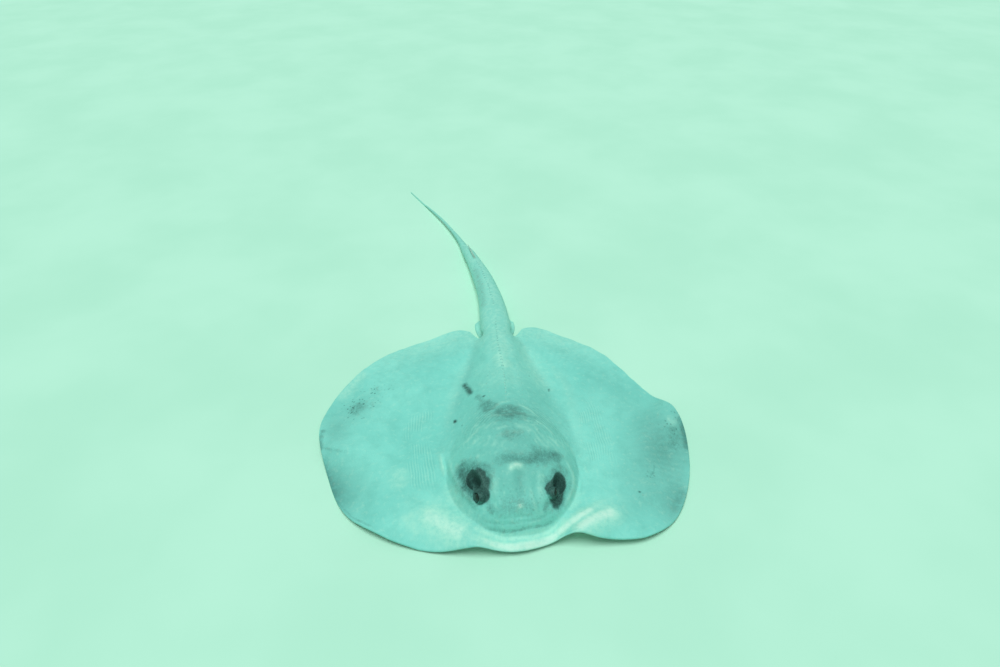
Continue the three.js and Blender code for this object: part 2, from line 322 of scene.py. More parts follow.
# ---- Folds, grooves and lumps of the upper face ----

FOLDS = {
    "brow ridge, left": (7, 2, (62, -250), (57, -280), (56, -306), (60, -328)),
    "brow ridge, right": (7, 2, (-60, -246), (-52, -270), (-49, -294), (-53, -318)),
    "plate's edge, left": (4, 1.5, (31, -294), (37, -320), (44, -342)),
    "plate's edge, right": (4, 1.5, (-52, -296), (-45, -312), (-38, -330)),
    "groove between the eyes": (14, -3, (11, -258), (9, -290), (7, -326)),
    "hollow behind the crest": (
        11, -3.6, (-44, -214), (-14, -217), (15, -222), (49, -226), (79, -215), (106, -190),
    ),
    "ring behind the head, 1": (3.6, 1.5, (-46, -58), (-28, -44), (-12, -33), (16, -28)),
    "ring behind the head, 2": (3.6, 1.4, (22, -40), (30, -44), (55, -55), (73, -80)),
    "ring behind the head, 3": (3.6, 1.3, (62, -100), (69, -107), (92, -126), (108, -152)),
    "ring behind the head, 4": (3.6, 1.3, (-100, -118), (-90, -99), (-67, -89), (-34, -98)),
    "ring behind the head, 5": (3.2, 1.1, (-60, -128), (-30, -118), (0, -116), (34, -124)),
    "outer fold, right": (
        5, 2.4, (-178, -130), (-175, -147), (-172, -169), (-166, -193), (-161, -214),
    ),
    "inner fold, right": (
        4.5, 2.6, (-155, -150), (-155, -163), (-152, -190), (-146, -218), (-132, -256),
        (-110, -291), (-80, -328),
    ),
    "furrow, right": (4, -1.8, (-165, -150), (-162, -180), (-155, -212), (-140, -250)),
    "inner fold, left": (
        4.5, 2.4, (124, -205), (133, -222), (142, -238), (142, -260), (130, -288), (108, -322),
    ),
    "outer fold, left": (5, 1.6, (150, -190), (158, -222), (160, -250), (150, -285)),
    "crease above the lip": (
        2.4, -0.9, (-80, -328), (-56, -341), (-30, -348), (4, -349), (40, -343), (78, -326),
    ),
    "lip, upper": (
        2.6, -1.3, (-96, -330), (-73, -344), (-46, -352), (-18, -356), (13, -355), (53, -345),
        (104, -318),
    ),
    "lip, lower": (
        2.8, -1.8, (-92, -346), (-69, -355), (-42, -362), (-18, -366), (13, -364), (60, -353),
        (106, -330),
    ),
    "front rim": (
        9, 2.6, (-91, -376), (-65, -384), (-18, -392), (24, -390), (67, -376), (96, -360),
        (145, -336), (196, -308), (236, -290),
    ),
    "trunk's side, right": (15, 2, (-77, 248), (-109, 183), (-134, 97), (-149, 12), (-157, -66)),
    "trunk's side, left": (15, 2, (95, 261), (140, 185), (176, 99), (182, -62), (177, -214)),
    "shoulder girdle, left": (14, 1.8, (96, -12), (130, -30), (152, -70)),
    "shoulder girdle, right": (14, 1.8, (-80, -14), (-112, -34), (-136, -76)),
    "backbone": (16, 2.2, (0, -20), (0, 80), (0, 200), (0, 320)),
    "beside the backbone, left": (10, -1.6, (26, 0), (27, 100), (24, 220), (20, 310)),
    "beside the backbone, right": (10, -1.6, (-26, 0), (-27, 100), (-24, 220), (-20, 310)),
}
LUMPS = {
    "crest of the head": ((5, -247), (24, 9), 0, 3.6),
    "snout's knob": ((5, -334), (6.5, 6.5), 0, 3.4),
    "under the knob": ((2, -347), (15, 5), 0, -2.2),
    "plate, left": ((30, -282), (13, 30), 8, 1.6),
    "plate, right": ((-24, -284), (14, 30), -8, 1.6),
    "head, left of the crest": ((52, -256), (14, 9), 20, 1.6),
    "nape, left": ((46, -168), (30, 20), 10, 1.6),
    "nape, right": ((-44, -160), (32, 22), -12, 1.8),
    "hollow of the nape": ((10, -82), (44, 14), 0, -2.8),
    "small hollow": ((-12, -172), (18, 7), 0, -1.4),
}
# The two hollows that hold an eye and its spiracle: where each begins and ends, and how wide it
# is on its outer side.
SOCKETS = {1: ((76, -327), (117, -250), 19.0), -1: ((-66, -318), (-121, -226), 20.0)}
SOCKET_INNER, SOCKET_DEPTH = 6.0, 6.0
SOCKET_SHIFT, SOCKET_BOW = 9.0, 5.0
FOLD_FADE = 0.2


def in_socket(x, y, mirror):
    """How deep a place is in a socket, from 0 outside it to 1 along its steep inner side."""
    (ax, ay), (bx, by), outer = SOCKETS[mirror]
    length = math.hypot(bx - ax, by - ay)
    dx, dy = (bx - ax) / length, (by - ay) / length
    along = ((x - ax) * dx + (y - ay) * dy) / length
    across = ((x - ax) * dy - (y - ay) * dx) * mirror + SOCKET_SHIFT
    bowed = across - SOCKET_BOW * (1 - (2 * along - 1) ** 2)
    width = np.where(bowed < 0, SOCKET_INNER, outer)
    ends = smoothstep(along, -0.12, 0.16) * (1 - smoothstep(along, 0.86, 1.16))
    return ends * np.exp(-((bowed / width) ** 2))


def head_rings(x, y):
    """Broken wrinkles that run round the hind half of the head."""
    dx, dy = x - 6, (y + 170) * 0.96
    ring = np.hypot(dx, dy) + 3 * noise(x, y, 40, 21)
    behind = smoothstep(dy / np.maximum(ring, 1), -0.25, 0.45)
    band = smoothstep(ring, 62, 88) * (1 - smoothstep(ring, 132, 152)) * behind
    broken = 0.25 + 0.75 * smoothstep(noise(x, y, 30, 22, 2), -0.35, 0.25)
    return band * broken * np.sin(ring * 2 * np.pi / 8.6 + 1.5 * noise(x, y, 26, 23))


def lip_rows(x, y):
    """Uneven rows on the slope above the lip."""
    way = y + 0.004 * x**2 + 3 * noise(x, y, 30, 25)
    return blob(x, y, (0, -350), (78, 12), 0) * np.sin(way * 2 * np.pi / 7)


def wing_rays(x, y):
    """The wings' fin rays, fanning out to the margin."""
    bearing, out, _ = polar(x, y)
    fan = smoothstep(out, 0.55, 0.78) * (1 - smoothstep(out, 0.97, 1))
    fan = fan * (0.4 + 0.6 * smoothstep(noise(x, y, 110, 28), -0.5, 0.4))
    return fan * np.sin(np.radians(bearing) * 124 + 3.5 * noise(x, y, 120, 26))


def creases(x, y):
    """Fine wrinkles, below and above the smooth face by a millimetre or less."""
    grain = 0.28 * noise(x, y, 7, 27, 2) * (0.4 + 0.6 * (hump(x, y) > 1))
    return 0.45 * head_rings(x, y) + 0.12 * lip_rows(x, y) + 0.14 * wing_rays(x, y) + grain


def relief(x, y):
    """All that stands out from or sinks into the upper face, but for its wrinkles."""
    total = sum_strokes(FOLDS, x, y, FOLD_FADE) + sum_spots(LUMPS, x, y)
    for mirror in SOCKETS:
        total -= SOCKET_DEPTH * in_socket(x, y, mirror)
    _, out, _ = polar(x, y)
    uneven = 2.4 * noise(x, y, 130, 11, 2) + 0.9 * noise(x, y, 38, 12, 2)
    on_head = hump(x, y) > 40
    return total + uneven * (1 - smoothstep(out, 0.9, 1)) * (1 - 0.6 * on_head) - 1.2


def faces_at(x, y):
    """Heights of the disc's lower and upper faces, and of the line between them at its edge."""
    bearing, out, reach = polar(x, y)
    low = underside(bearing, out) + ruffle(x, y, out)
    inset = np.maximum(0, (1 - out) * reach)
    half_thick = EDGE_THICK / 2
    round_edge = np.sqrt(1 - (1 - np.clip(inset / half_thick, 0, 1)) ** 2) * EDGE_THICK / 2
    middle = low + half_thick
    wing = (WING_ROOT - EDGE_THICK) * np.maximum(0, 1 - out**2) ** WING_TAPER
    beside = smoothstep(np.abs(x), 30, 46)
    body = soft_hump(x, y) * (1 - beside * np.exp(-((inset / 16) ** 2)))
    inner = smoothstep(inset, 2, 12)
    high = middle + round_edge + wing + body + (relief(x, y) + creases(x, y)) * inner
    # the tail's root stands out of the disc's hind part
    rear = y > 180
    deep = smoothstep(inset[rear], 0, 46)
    root = tail_top(x[rear], y[rear]) - 3.2 * (1 - deep)
    soft = 0.05 + 12 * deep * smoothstep(y[rear], 190, 300)
    high[rear] = smooth_max(high[rear], root, soft)
    return middle - round_edge, np.maximum(high, BELLY_Z + 0.6), middle


# ---- The underside's mouth, nostrils, gills and vent ----

# Grooves, whose heights are depths.
UNDER_GROOVES = {
    "mouth": (
        3, 8, (-46, -238), (-36, -244), (-18, -248), (0, -245), (18, -248), (36, -244), (46, -238),
    ),
    "nasal curtain's edge": (
        1.8, 3, (-37, -263), (-26, -259), (-10, -256), (0, -259), (10, -256), (26, -259),
        (37, -263),
    ),
    "behind the lower lip": (3, 2.2, (-34, -226), (-14, -229), (14, -229), (34, -226)),
    "vent": (3.4, 6, (0, 316), (0, 330), (0, 344)),
}
# Shallow hollows of the belly, whose strengths are depths.
UNDER_HOLLOWS = {
    "round the mouth": ((0, -256), (66, 38), 0, 3.2),
    "gills, left": ((86, -118), (24, 74), 12, 2),
    "gills, right": ((-86, -118), (24, 74), -12, 2),
}
# Ridges that stand out in these hollows.
UNDER_RIDGES = {
    "upper lip": (3.6, 1.6, (-42, -246), (-20, -254), (0, -252), (20, -254), (42, -246)),
    "lower lip": (4.2, 2.2, (-40, -233), (-18, -238), (18, -238), (40, -233)),
}
NOSTRIL = [(50, -292), (45, -287), (41, -278), (39, -268)]
MOUTH_CORNER = [(41, -262), (47, -252), (50, -240), (48, -228)]
NASAL_FLAP = [(34, -288), (31, -276), (30, -266)]
GILL = [(13, -3), (6, 1.5), (-3, 2), (-12, -1)]
GILL_COUNT, GILL_FIRST, GILL_STEP, GILL_FLAP_AHEAD = 5, (98, -172), (-6, 27), 5
GROOVE_FADE, RIDGE_FADE = 0.3, 0.35


def mirrored(points, mirror, x=0, y=0):
    return [(mirror * (x + a), y + b) for a, b in points]


for side, mirror in SIDES.items():
    UNDER_GROOVES[f"nostril, {side}"] = (4.4, 7, *mirrored(NOSTRIL, mirror))
    UNDER_GROOVES[f"mouth corner, {side}"] = (2.2, 2.6, *mirrored(MOUTH_CORNER, mirror))
    UNDER_RIDGES[f"nasal flap, {side}"] = (3.4, 1.6, *mirrored(NASAL_FLAP, mirror))
    for number in range(GILL_COUNT):
        x, y = (a + b * number for a, b in zip(GILL_FIRST, GILL_STEP))
        slit = mirrored(GILL, mirror, x, y)
        flap = mirrored(GILL, mirror, x, y - GILL_FLAP_AHEAD)
        UNDER_GROOVES[f"gill {number}, {side}"] = (2.2, 5.5, *slit)
        UNDER_RIDGES[f"gill flap {number}, {side}"] = (3.6, 1.5, *flap)


def under_relief(x, y):
    """How far the lower face lies above the smooth belly."""
    total = sum_spots(UNDER_HOLLOWS, x, y)
    for width, depth, *points in UNDER_GROOVES.values():
        total += depth * stroke(x, y, points, width, GROOVE_FADE)
        total += 0.2 * depth * stroke(x, y, points, 3 * width, GROOVE_FADE)
    return total - sum_strokes(UNDER_RIDGES, x, y, RIDGE_FADE)


# ---- Building the disc ----

POLE = np.array([0.0, -262.0])  # the rings are drawn in to this point, so the head's are finest
EDGE_PITCH, RIM_FROM = 2.6, 0.98
OUTER_SHARES = [0.988, 0.9925, 0.9958, 0.998, 0.9993]


def ring_shares(inner_step, outer_step, turn_at):
    """How far out each ring lies, from the pole at 0 to the edge at 1."""
    shares = [0.0]
    while shares[-1] < 0.985:
        step = inner_step if shares[-1] < turn_at else outer_step
        shares.append(shares[-1] + step)
    return np.array([s for s in shares[1:] if s < 0.984] + OUTER_SHARES)


def zip_rings(first, first_count, second, second_count):
    """Triangles between two rings of points, counter-clockwise seen from above."""
    a = np.arange(1, first_count + 1) / first_count
    b = np.arange(1, second_count + 1) / second_count
    j = np.searchsorted(b, a, "left")
    i = np.arange(first_count)
    inward = np.stack([first + i, second + j % second_count, first + (i + 1) % first_count], 1)
    i = np.searchsorted(a, b, "right")
    j = np.arange(second_count)
    outward = np.stack([first + i % first_count, second + j, second + (j + 1) % second_count], 1)
    return np.vstack([inward, outward])


def closed_rings(count, around, with_travel=True):
    """Triangles of a tube of rings whose two end points follow the rings in the list of points.

    with_travel is true where the rings turn counter-clockwise about the way from first to last.
    """
    grid = np.arange(count * around).reshape(count, around)
    a, b = grid[:-1], grid[1:]
    quads = np.stack([a, np.roll(a, -1, 1), np.roll(b, -1, 1), b], -1).reshape(-1, 4)
    ahead = np.roll(np.arange(around), -1)
    near = np.stack([np.full(around, grid.size), grid[0][ahead], grid[0]], 1)
    far = np.stack([np.full(around, grid.size + 1), grid[-1], grid[-1][ahead]], 1)
    faces = np.vstack([quads[:, [0, 1, 2]], quads[:, [0, 2, 3]], near, far])
    return faces if with_travel else faces[:, ::-1]


def disc_plan():
    """Flat rings of the upper face (z = 1), the edge (0) and the lower face (-1), and triangles."""
    points, faces = [], []
    total = 0

    def add_ring(share, pitch, level):
        nonlocal total
        count = max(10, int(EDGE_LENGTH * share / pitch))
        at = POLE + (edge_at(np.arange(count) / count) - POLE) * share
        points.append(np.column_stack([at, np.full(count, level)]))
        total += count
        return total - count, count

    edge = add_ring(1.0, EDGE_PITCH, 0)
    for level, shares, fine, coarse, outermost in (
        (1, ring_shares(0.0042, 0.0068, 0.45), 1.7, 3.0, EDGE_PITCH),
        (-1, ring_shares(0.0068, 0.0105, 0.4), 3.0, 5.0, 3.4),
    ):
        made = []
        for share in shares:
            pitch = fine + (coarse - fine) * float(smoothstep(share, 0.3, 0.7))
            made.append(add_ring(share, pitch if share < RIM_FROM else outermost, level))
        made.append(edge)
        tris = [zip_rings(*inner, *outer) for inner, outer in zip(made, made[1:])]
        hub = total
        points.append(np.array([[*POLE, level]]))
        total += 1
        start, count = made[0]
        i = np.arange(count)
        tris.append(np.stack([np.full(count, hub), start + i, start + (i + 1) % count], 1))
        faces.extend(t if level > 0 else t[:, ::-1] for t in tris)
    return np.vstack(points), np.vstack(faces)


EYE_RADIUS = 13.4
GAZE = (0.86, -0.34, 0.38)
LID_FACING = (0.40, -0.44, 0.80)
LID_RADIUS = 15.0
LID_OPENING = math.cos(math.radians(45))  # the lid is open within this angle of the gaze
LID_NEAR, LID_FAR, LID_BELOW = 24, 34, -26  # full effect, no effect, and how deep it reaches
SPIRACLES = {1: (101.0, -275.0), -1: (-96.0, -259.0)}
SPIRACLE_TURN = 29.0
SPIRACLE_HALF_WIDTH, SPIRACLE_HALF_LENGTH, SPIRACLE_DEPTH = 13.5, 22.0, 25.0
SPIRACLE_SLANT = (7, 3)  # how far the pit's bottom lies inwards and forwards of its mouth


def eye_middle(side):
    low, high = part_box(f"eye_{side}")
    return np.array((low + high) / 2) / MM


def gaze(mirror):
    return unit(np.array([GAZE[0] * mirror, *GAZE[1:]]))


EYES = {side: eye_middle(side) for side in SIDES}


def in_spiracle(x, y, mirror):
    """How far a place is from the spiracle's middle: 1 on its rim."""
    c, s = math.cos(math.radians(SPIRACLE_TURN)), math.sin(math.radians(SPIRACLE_TURN))
    at_x, at_y = SPIRACLES[mirror]
    dx, dy = mirror * (x - at_x), y - at_y
    along, across = s * dx + c * dy, c * dx - s * dy
    across = across + 0.006 * along**2 - 1.5
    power = 2.2
    long = (np.abs(along) / SPIRACLE_HALF_LENGTH) ** power
    wide = (np.abs(across) / SPIRACLE_HALF_WIDTH) ** power
    return (long + wide) ** (1 / power) + 0.07 * noise(x, y, 9, 43, 2)


def refine(points, faces, spots):
    """Cuts the edges near the given spots in two, so that small forms have points enough."""
    made = bmesh.new()
    verts = [made.verts.new(p) for p in points]
    for face in faces:
        made.faces.new([verts[i] for i in face])
    for (x, y), radius, level, cuts in spots:
        for _ in range(cuts):
            made.edges.ensure_lookup_table()
            chosen = [
                e for e in made.edges
                if all(v.co.z == level and math.hypot(v.co.x - x, v.co.y - y) < radius for v in e.verts)
            ]
            bmesh.ops.subdivide_edges(made, edges=chosen, cuts=1, use_grid_fill=True)
    bmesh.ops.triangulate(made, faces=made.faces[:])
    made.verts.index_update()
    points = np.array([v.co for v in made.verts])
    faces = np.array([[v.index for v in f.verts] for f in made.faces])
    made.free()
    return points, faces


def shape_disc():
    """The disc as one closed mesh, with its orbits, lids, spiracles and openings."""
    # finer faces round the eyes, the gills and the mouth: place, reach, level and cuts
    spots = []
    for mirror in SIDES.values():
        spots.append(((mirror * 93, -284), 58, 1, 1))
        spots.append(((mirror * 86, -118), 74, -1, 1))
    spots.append(((0, -258), 66, -1, 2))
    points, faces = refine(*disc_plan(), spots)
    x, y, level = points.T
    low, high, middle = faces_at(x, y)
    lower = smooth_max(low, np.full(x.shape, BELLY_Z), 1.2) + under_relief(x, y)
    lower = np.maximum(lower, BELLY_Z)
    top = level > 0.5
    z = np.where(top, high, np.where(level < -0.5, lower, middle))
    at = np.column_stack([x, y, z])
    for side, mirror in SIDES.items():
        at[top] = open_spiracle(at[top], mirror)
        at[top] = shape_orbit(at[top], EYES[side], mirror)
    return at, faces


def open_spiracle(at, mirror):
    """Sinks a pit that slants forwards and in towards the throat, with a rolled rim."""
    inside = in_spiracle(at[:, 0], at[:, 1], mirror)
    deep = (1 - smoothstep(inside, 0.45, 1.08)) ** 0.9
    rim = np.exp(-(((inside - 1.2) / 0.16) ** 2))
    inwards, forwards = SPIRACLE_SLANT
    at = at.copy()
    at[:, 2] += 1.4 * rim - SPIRACLE_DEPTH * deep
    at[:, 0] -= mirror * inwards * deep
    at[:, 1] -= forwards * deep
    return at


def shape_orbit(at, middle, mirror):
    """Raises the skin over the eyeball as a lid, open where the eye looks out."""
    normal = unit(np.array([LID_FACING[0] * mirror, *LID_FACING[1:]]))
    off = at - middle
    height = off @ normal
    flat = off - np.outer(height, normal)
    away = np.linalg.norm(flat, axis=1)
    near = (away < LID_FAR) & (height > LID_BELOW)
    lid = np.sqrt(np.maximum(LID_RADIUS**2 - away**2, 0))
    skirt = 6.5 * np.exp(-((away / 21) ** 2)) + height
    raised = smooth_max(np.where(away < LID_RADIUS, lid, -40), skirt, 5.0)
    on_ball = flat + np.outer(raised, normal)
    facing = (on_ball @ gaze(mirror)) / np.maximum(np.linalg.norm(on_ball, axis=1), 1e-6)
    past = facing - LID_OPENING
    opened = smoothstep(facing, LID_OPENING - 0.05, LID_OPENING + 0.03)
    behind_ball = np.sqrt(np.maximum((EYE_RADIUS - 1.6) ** 2 - away**2, 0)) - 2
    rim = 0.9 * np.exp(-(((past + 0.07) / 0.05) ** 2))
    wrinkle = 0.35 * np.sin(facing * 46) * np.exp(-(((past + 0.22) / 0.12) ** 2))
    new_height = (raised + rim + wrinkle) * (1 - opened) + behind_ball * opened
    moved = height + (new_height - height) * (1 - smoothstep(away, LID_NEAR, LID_FAR))
    out = at.copy()
    out[near] = (middle + flat + np.outer(moved, normal))[near]
    return out


# ---- The tail ----


def tail_path():
    """The tail's middle line in the plan, and how far along it each point lies."""
    root = (0, (TAIL_ROOT_Y - TAIL_START_Y) / TAIL_LENGTH)
    p = np.array([root, (0, 0), *TAIL_LINE]) * TAIL_LENGTH + (0, TAIL_START_Y)
    line = smooth_line(np.vstack([p[:1], p, p[-1:]]), 200)
    return line, distances(line)


TAIL_PATH, TAIL_FAR = tail_path()
TAIL_END = TAIL_FAR[-1]


def read_off(pairs, share):
    """A value at each share, eased between the pairs of a table."""
    at, value = np.array(pairs, float).T
    k = np.clip(np.searchsorted(at, share, "left"), 1, len(at) - 1)
    t = np.clip((share - at[k - 1]) / (at[k] - at[k - 1]), 0, 1)
    return value[k - 1] + (value[k] - value[k - 1]) * (0.35 * t * t * (3 - 2 * t) + 0.65 * t)


def tail_point(far):
    return [np.interp(far, TAIL_FAR, TAIL_PATH[:, i]) for i in (0, 1)]


def tail_at(share):
    """The tail's middle line and sizes at shares of its length."""
    share = np.atleast_1d(np.asarray(share, float))
    far = share * TAIL_END
    x, y = tail_point(far)
    ahead, behind = tail_point(far + 1), tail_point(far - 1)
    along = np.stack([ahead[0] - behind[0], ahead[1] - behind[1], 0 * x], 1)
    along /= np.linalg.norm(along, axis=1)[:, None]
    across = np.stack([along[:, 1], -along[:, 0], 0 * x], 1)
    half_width = read_off(TAIL_HALF_WIDTHS, share)
    flat_root, flat_whip = TAIL_FLATNESS
    half_height = half_width * (flat_root + (flat_whip - flat_root) * np.minimum(1, share / FOLD_FROM))
    within = np.clip((share - FOLD_FROM) / (FOLD_TO - FOLD_FROM), 0, 1)
    fold = FOLD_DEPTH * np.maximum(0, np.sin(np.pi * within**0.7)) ** 0.8
    lift = TAIL_LIFT * (1 - smoothstep(share, 0, TAIL_LIFT_UNTIL))
    sink = np.minimum(SINK, half_height / 2) * (1 - np.clip(fold, 0, 1))
    middle = np.stack([x, y, half_height + fold + lift - sink], 1)
    return middle, along, across, half_width, half_height, fold


def tail_top(x, y):
    """Height of the tail's upper face where it lies in the disc."""
    middle, _, _, half_width, half_height, _ = tail_at(np.maximum(0, y - TAIL_ROOT_Y) / TAIL_END)
    across = np.abs(x - middle[:, 0]) / half_width
    arch = half_height * np.sqrt(np.maximum(0, 1 - across**2))
    return middle[:, 2] + arch - 3 * half_height * np.maximum(0, across - 1)


TUBE_START, TUBE_AROUND = 62.0, 60
TUBE_STEP, WHIP_STEP, WHIP_FROM = 3.2, 3.8, 620


def tube_stops():
    """How far along the tail each ring of its tube lies, in millimetres."""
    stops = [TUBE_START]
    while stops[-1] < TAIL_END - 3:
        stops.append(stops[-1] + (TUBE_STEP if stops[-1] < WHIP_FROM else WHIP_STEP))
    return np.array(stops[:-1] + [TAIL_END - 2, TAIL_END - 0.6])


def shape_tail():
    """The tail as a closed tube, with a keel along each side and the fold under the whip."""
    stops = tube_stops()
    middle, along, across, half_width, half_height, fold = tail_at(stops / TAIL_END)
    c, s = circle(TUBE_AROUND)
    rooted = 0.9 + 0.1 * smoothstep(stops, TUBE_START, 130)
    tip = np.sqrt(np.clip((TAIL_END - stops) / 6, 0.04, 1))
    wide = (half_width * rooted * tip)[:, None]
    tall = (half_height * rooted * tip)[:, None]
    thick = smoothstep(half_width, 5, 22)[:, None]
    keel = np.exp(-((s / 0.16) ** 2))
    crown = np.exp(-((c / 0.28) ** 2)) * (s > 0)
    # wrinkles, the same on the right and the left
    arc = stops[:, None] + np.zeros(TUBE_AROUND)
    skew = np.arange(TUBE_AROUND) / TUBE_AROUND * 2 * np.pi * 28 + 0 * arc
    mirrored_skew = np.abs(skew - 88)
    rough = noise(arc, mirrored_skew, 11, 31, 2)
    rings = np.sin(arc * 2 * np.pi / 9 + 1.6 * noise(arc, mirrored_skew, 30, 32))
    side = c * wide * (1 - 0.03 * thick + 0.05 * thick * keel)
    side = side + thick * 0.3 * rough * c + thick * 0.22 * rings * c * np.abs(s)
    rise = s * tall * (1 - 0.05 * thick * (1 - crown)) + thick * 0.35 * rough * s
    # the fold's frilled blade, which draws the sides in above it
    blade = np.exp(-((c / 0.36) ** 2)) * (s < 0)
    frill = 1 + 0.07 * np.sin(arc / 9.0) + 0.05 * noise(arc, 0 * arc, 14, 33)
    rise = rise - fold[:, None] * np.minimum(frill, 1.0) * blade
    squeeze = 1 - 0.35 * blade * np.clip(fold, 0, 1)[:, None]
    at = middle[:, None, :] + across[:, None, :] * (side * squeeze)[..., None]
    at[..., 2] += rise
    at[..., 2] = np.maximum(at[..., 2], BELLY_Z)
    ends = np.vstack([middle[0] - along[0] * 2, middle[-1] + along[-1] * 0.5])
    ends[:, 2] = np.maximum(ends[:, 2], BELLY_Z + 0.3)
    points = np.vstack([at.reshape(-1, 3), ends])
    return points, closed_rings(len(stops), TUBE_AROUND, with_travel=False)


FIN_AT, FIN_HALF_WIDTH, FIN_HALF_LENGTH, FIN_THICK, FIN_TURN = (39.0, 400.0), 21.6, 61.5, 7.6, 10.0
FIN_ROWS, FIN_AROUND = 40, 72


def ball_rows(rows):
    """The angle from the pole of each ring of a ball, without its two poles."""
    return np.linspace(0, np.pi, rows + 1)[1:-1]


def shape_fin(mirror):
    """A pelvic fin: a soft lobe that shows behind the disc, beside the tail."""
    tilt = ball_rows(FIN_ROWS)[:, None]
    c, s = circle(FIN_AROUND)
    x, y, z = np.sin(tilt) * c, np.sin(tilt) * s, np.cos(tilt) + 0 * c
    crest = 1 + 0.035 * np.sin(np.arctan2(y, x) * 9)
    x, y, z = x * FIN_HALF_WIDTH * (1 + 0.25 * y), y * FIN_HALF_LENGTH * crest, z * FIN_THICK
    z = z + 0.35 * np.sin(x / 1.6) * (z > 0) * smoothstep(y, -20, 30)
    points = np.stack([x, y, z], -1).reshape(-1, 3)
    points = np.vstack([points, [0, 0, FIN_THICK], [0, 0, -FIN_THICK]])
    a = math.radians(-mirror * FIN_TURN)
    c, s = math.cos(a), math.sin(a)
    turned = points @ np.array([[c, s, 0], [-s, c, 0], [0, 0, 1]])
    turned += (mirror * FIN_AT[0], FIN_AT[1], 1)
    turned[:, 2] = np.maximum(turned[:, 2], BELLY_Z)
    return turned, closed_rings(FIN_ROWS - 1, FIN_AROUND, with_travel=False)


# ---- Meshes ----


def new_mesh(name, points, faces):
    """An object from points in millimetres."""
    mesh = bpy.data.meshes.new(name)
    points = np.asarray(points, np.float32) * MM
    faces = np.asarray(faces, np.int32)
    starts = np.arange(0, faces.size, faces.shape[1], dtype=np.int32)
    mesh.vertices.add(len(points))
    mesh.vertices.foreach_set("co", points.ravel())
    mesh.loops.add(faces.size)
    mesh.loops.foreach_set("vertex_index", faces.ravel())
    mesh.polygons.add(len(faces))
    mesh.polygons.foreach_set("loop_start", starts)
    mesh.update(calc_edges=True)
    mesh.validate()
    made = bpy.data.objects.new(name, mesh)
    bpy.context.scene.collection.objects.link(made)
    return made


def read(items, field, kind=np.int32, width=1):
    """A field of all vertices, edges, loops or faces, as rows where it holds several numbers."""
    out = np.empty(len(items) * width, kind)
    items.foreach_get(field, out)
    return out.reshape(-1, width) if width > 1 else out


def coords(mesh):
    return read(mesh.vertices, "co", np.float32, 3).astype(float) / MM


def set_slot(mesh, number):
    mesh.polygons.foreach_set("material_index", np.full(len(mesh.polygons), number, np.int32))


def mark(made, number):
    """Gives every face a number that survives a join."""
    for slot in range(4):
        name = f"mark_{slot}"
        made.data.materials.append(bpy.data.materials.get(name) or bpy.data.materials.new(name))
    set_slot(made.data, number)


def unite(main, others):
    """Joins closed meshes into one, and deletes the others."""
    for other in others:
        join = main.modifiers.new("join", "BOOLEAN")
        join.operation = "UNION"
        join.solver = "MANIFOLD"
        join.object = other
    joined = main.evaluated_get(bpy.context.evaluated_depsgraph_get())
    whole = bpy.data.meshes.new_from_object(joined)
    main.modifiers.clear()
    main.data = whole
    for other in others:
        bpy.data.objects.remove(other)


SEAM_REACH, SEAM_STEPS, SEAM_ROUNDS = 26.0, 22, 60


def seam_points(mesh):
    """Which points lie between faces of different numbers."""
    loops = read(mesh.loops, "vertex_index")
    numbers = read(mesh.polygons, "material_index")
    per_loop = np.repeat(numbers, read(mesh.polygons, "loop_total"))
    lowest = np.full(len(mesh.vertices), 99)
    highest = np.full(len(mesh.vertices), -1)
    np.minimum.at(lowest, loops, per_loop)
    np.maximum.at(highest, loops, per_loop)
    return lowest != highest


def soften_seams(made):
    """Smooths a band along the lines where the joined meshes meet."""
    mesh = made.data
    at = coords(mesh)
    edges = read(mesh.edges, "vertices", width=2)
    both_ways = ((0, 1), (1, 0))
    away = np.where(seam_points(mesh), 0.0, 1e9)
    lengths = np.linalg.norm(at[edges[:, 0]] - at[edges[:, 1]], axis=1)
    for _ in range(SEAM_STEPS):
        for a, b in both_ways:
            np.minimum.at(away, edges[:, b], away[edges[:, a]] + lengths)
    weight = (1 - smoothstep(away, 0.35 * SEAM_REACH, SEAM_REACH))[:, None]
    near = np.unique(edges[(weight[edges, 0] > 0).any(1)])
    few = edges[np.isin(edges, near).all(1)]
    count = np.zeros((len(at), 1))
    for a, _ in both_ways:
        np.add.at(count, few[:, a], 1)
    for _ in range(SEAM_ROUNDS):
        total = np.zeros_like(at)
        for a, b in both_ways:
            np.add.at(total, few[:, a], at[few[:, b]])
        mean = np.where(count > 0, total / np.maximum(count, 1), at)
        at = at + 0.5 * weight * (mean - at)
    at[:, 2] = np.maximum(at[:, 2], BELLY_Z)
    mesh.vertices.foreach_set("co", (at * MM).astype(np.float32).ravel())
    mesh.update()


def paint(mesh, name, values):
    layer = mesh.attributes.new(name, "FLOAT", "POINT")
    layer.data.foreach_set("value", np.asarray(values, np.float32))


def lay_out(mesh, uv):
    """Sets the layout from one pair of numbers for each face corner."""
    layer = mesh.uv_layers.new(name="OFBake")
    layer.data.foreach_set("uv", uv.astype(np.float32).ravel())


def shade_smooth(mesh):
    mesh.polygons.foreach_set("use_smooth", np.ones(len(mesh.polygons), bool))
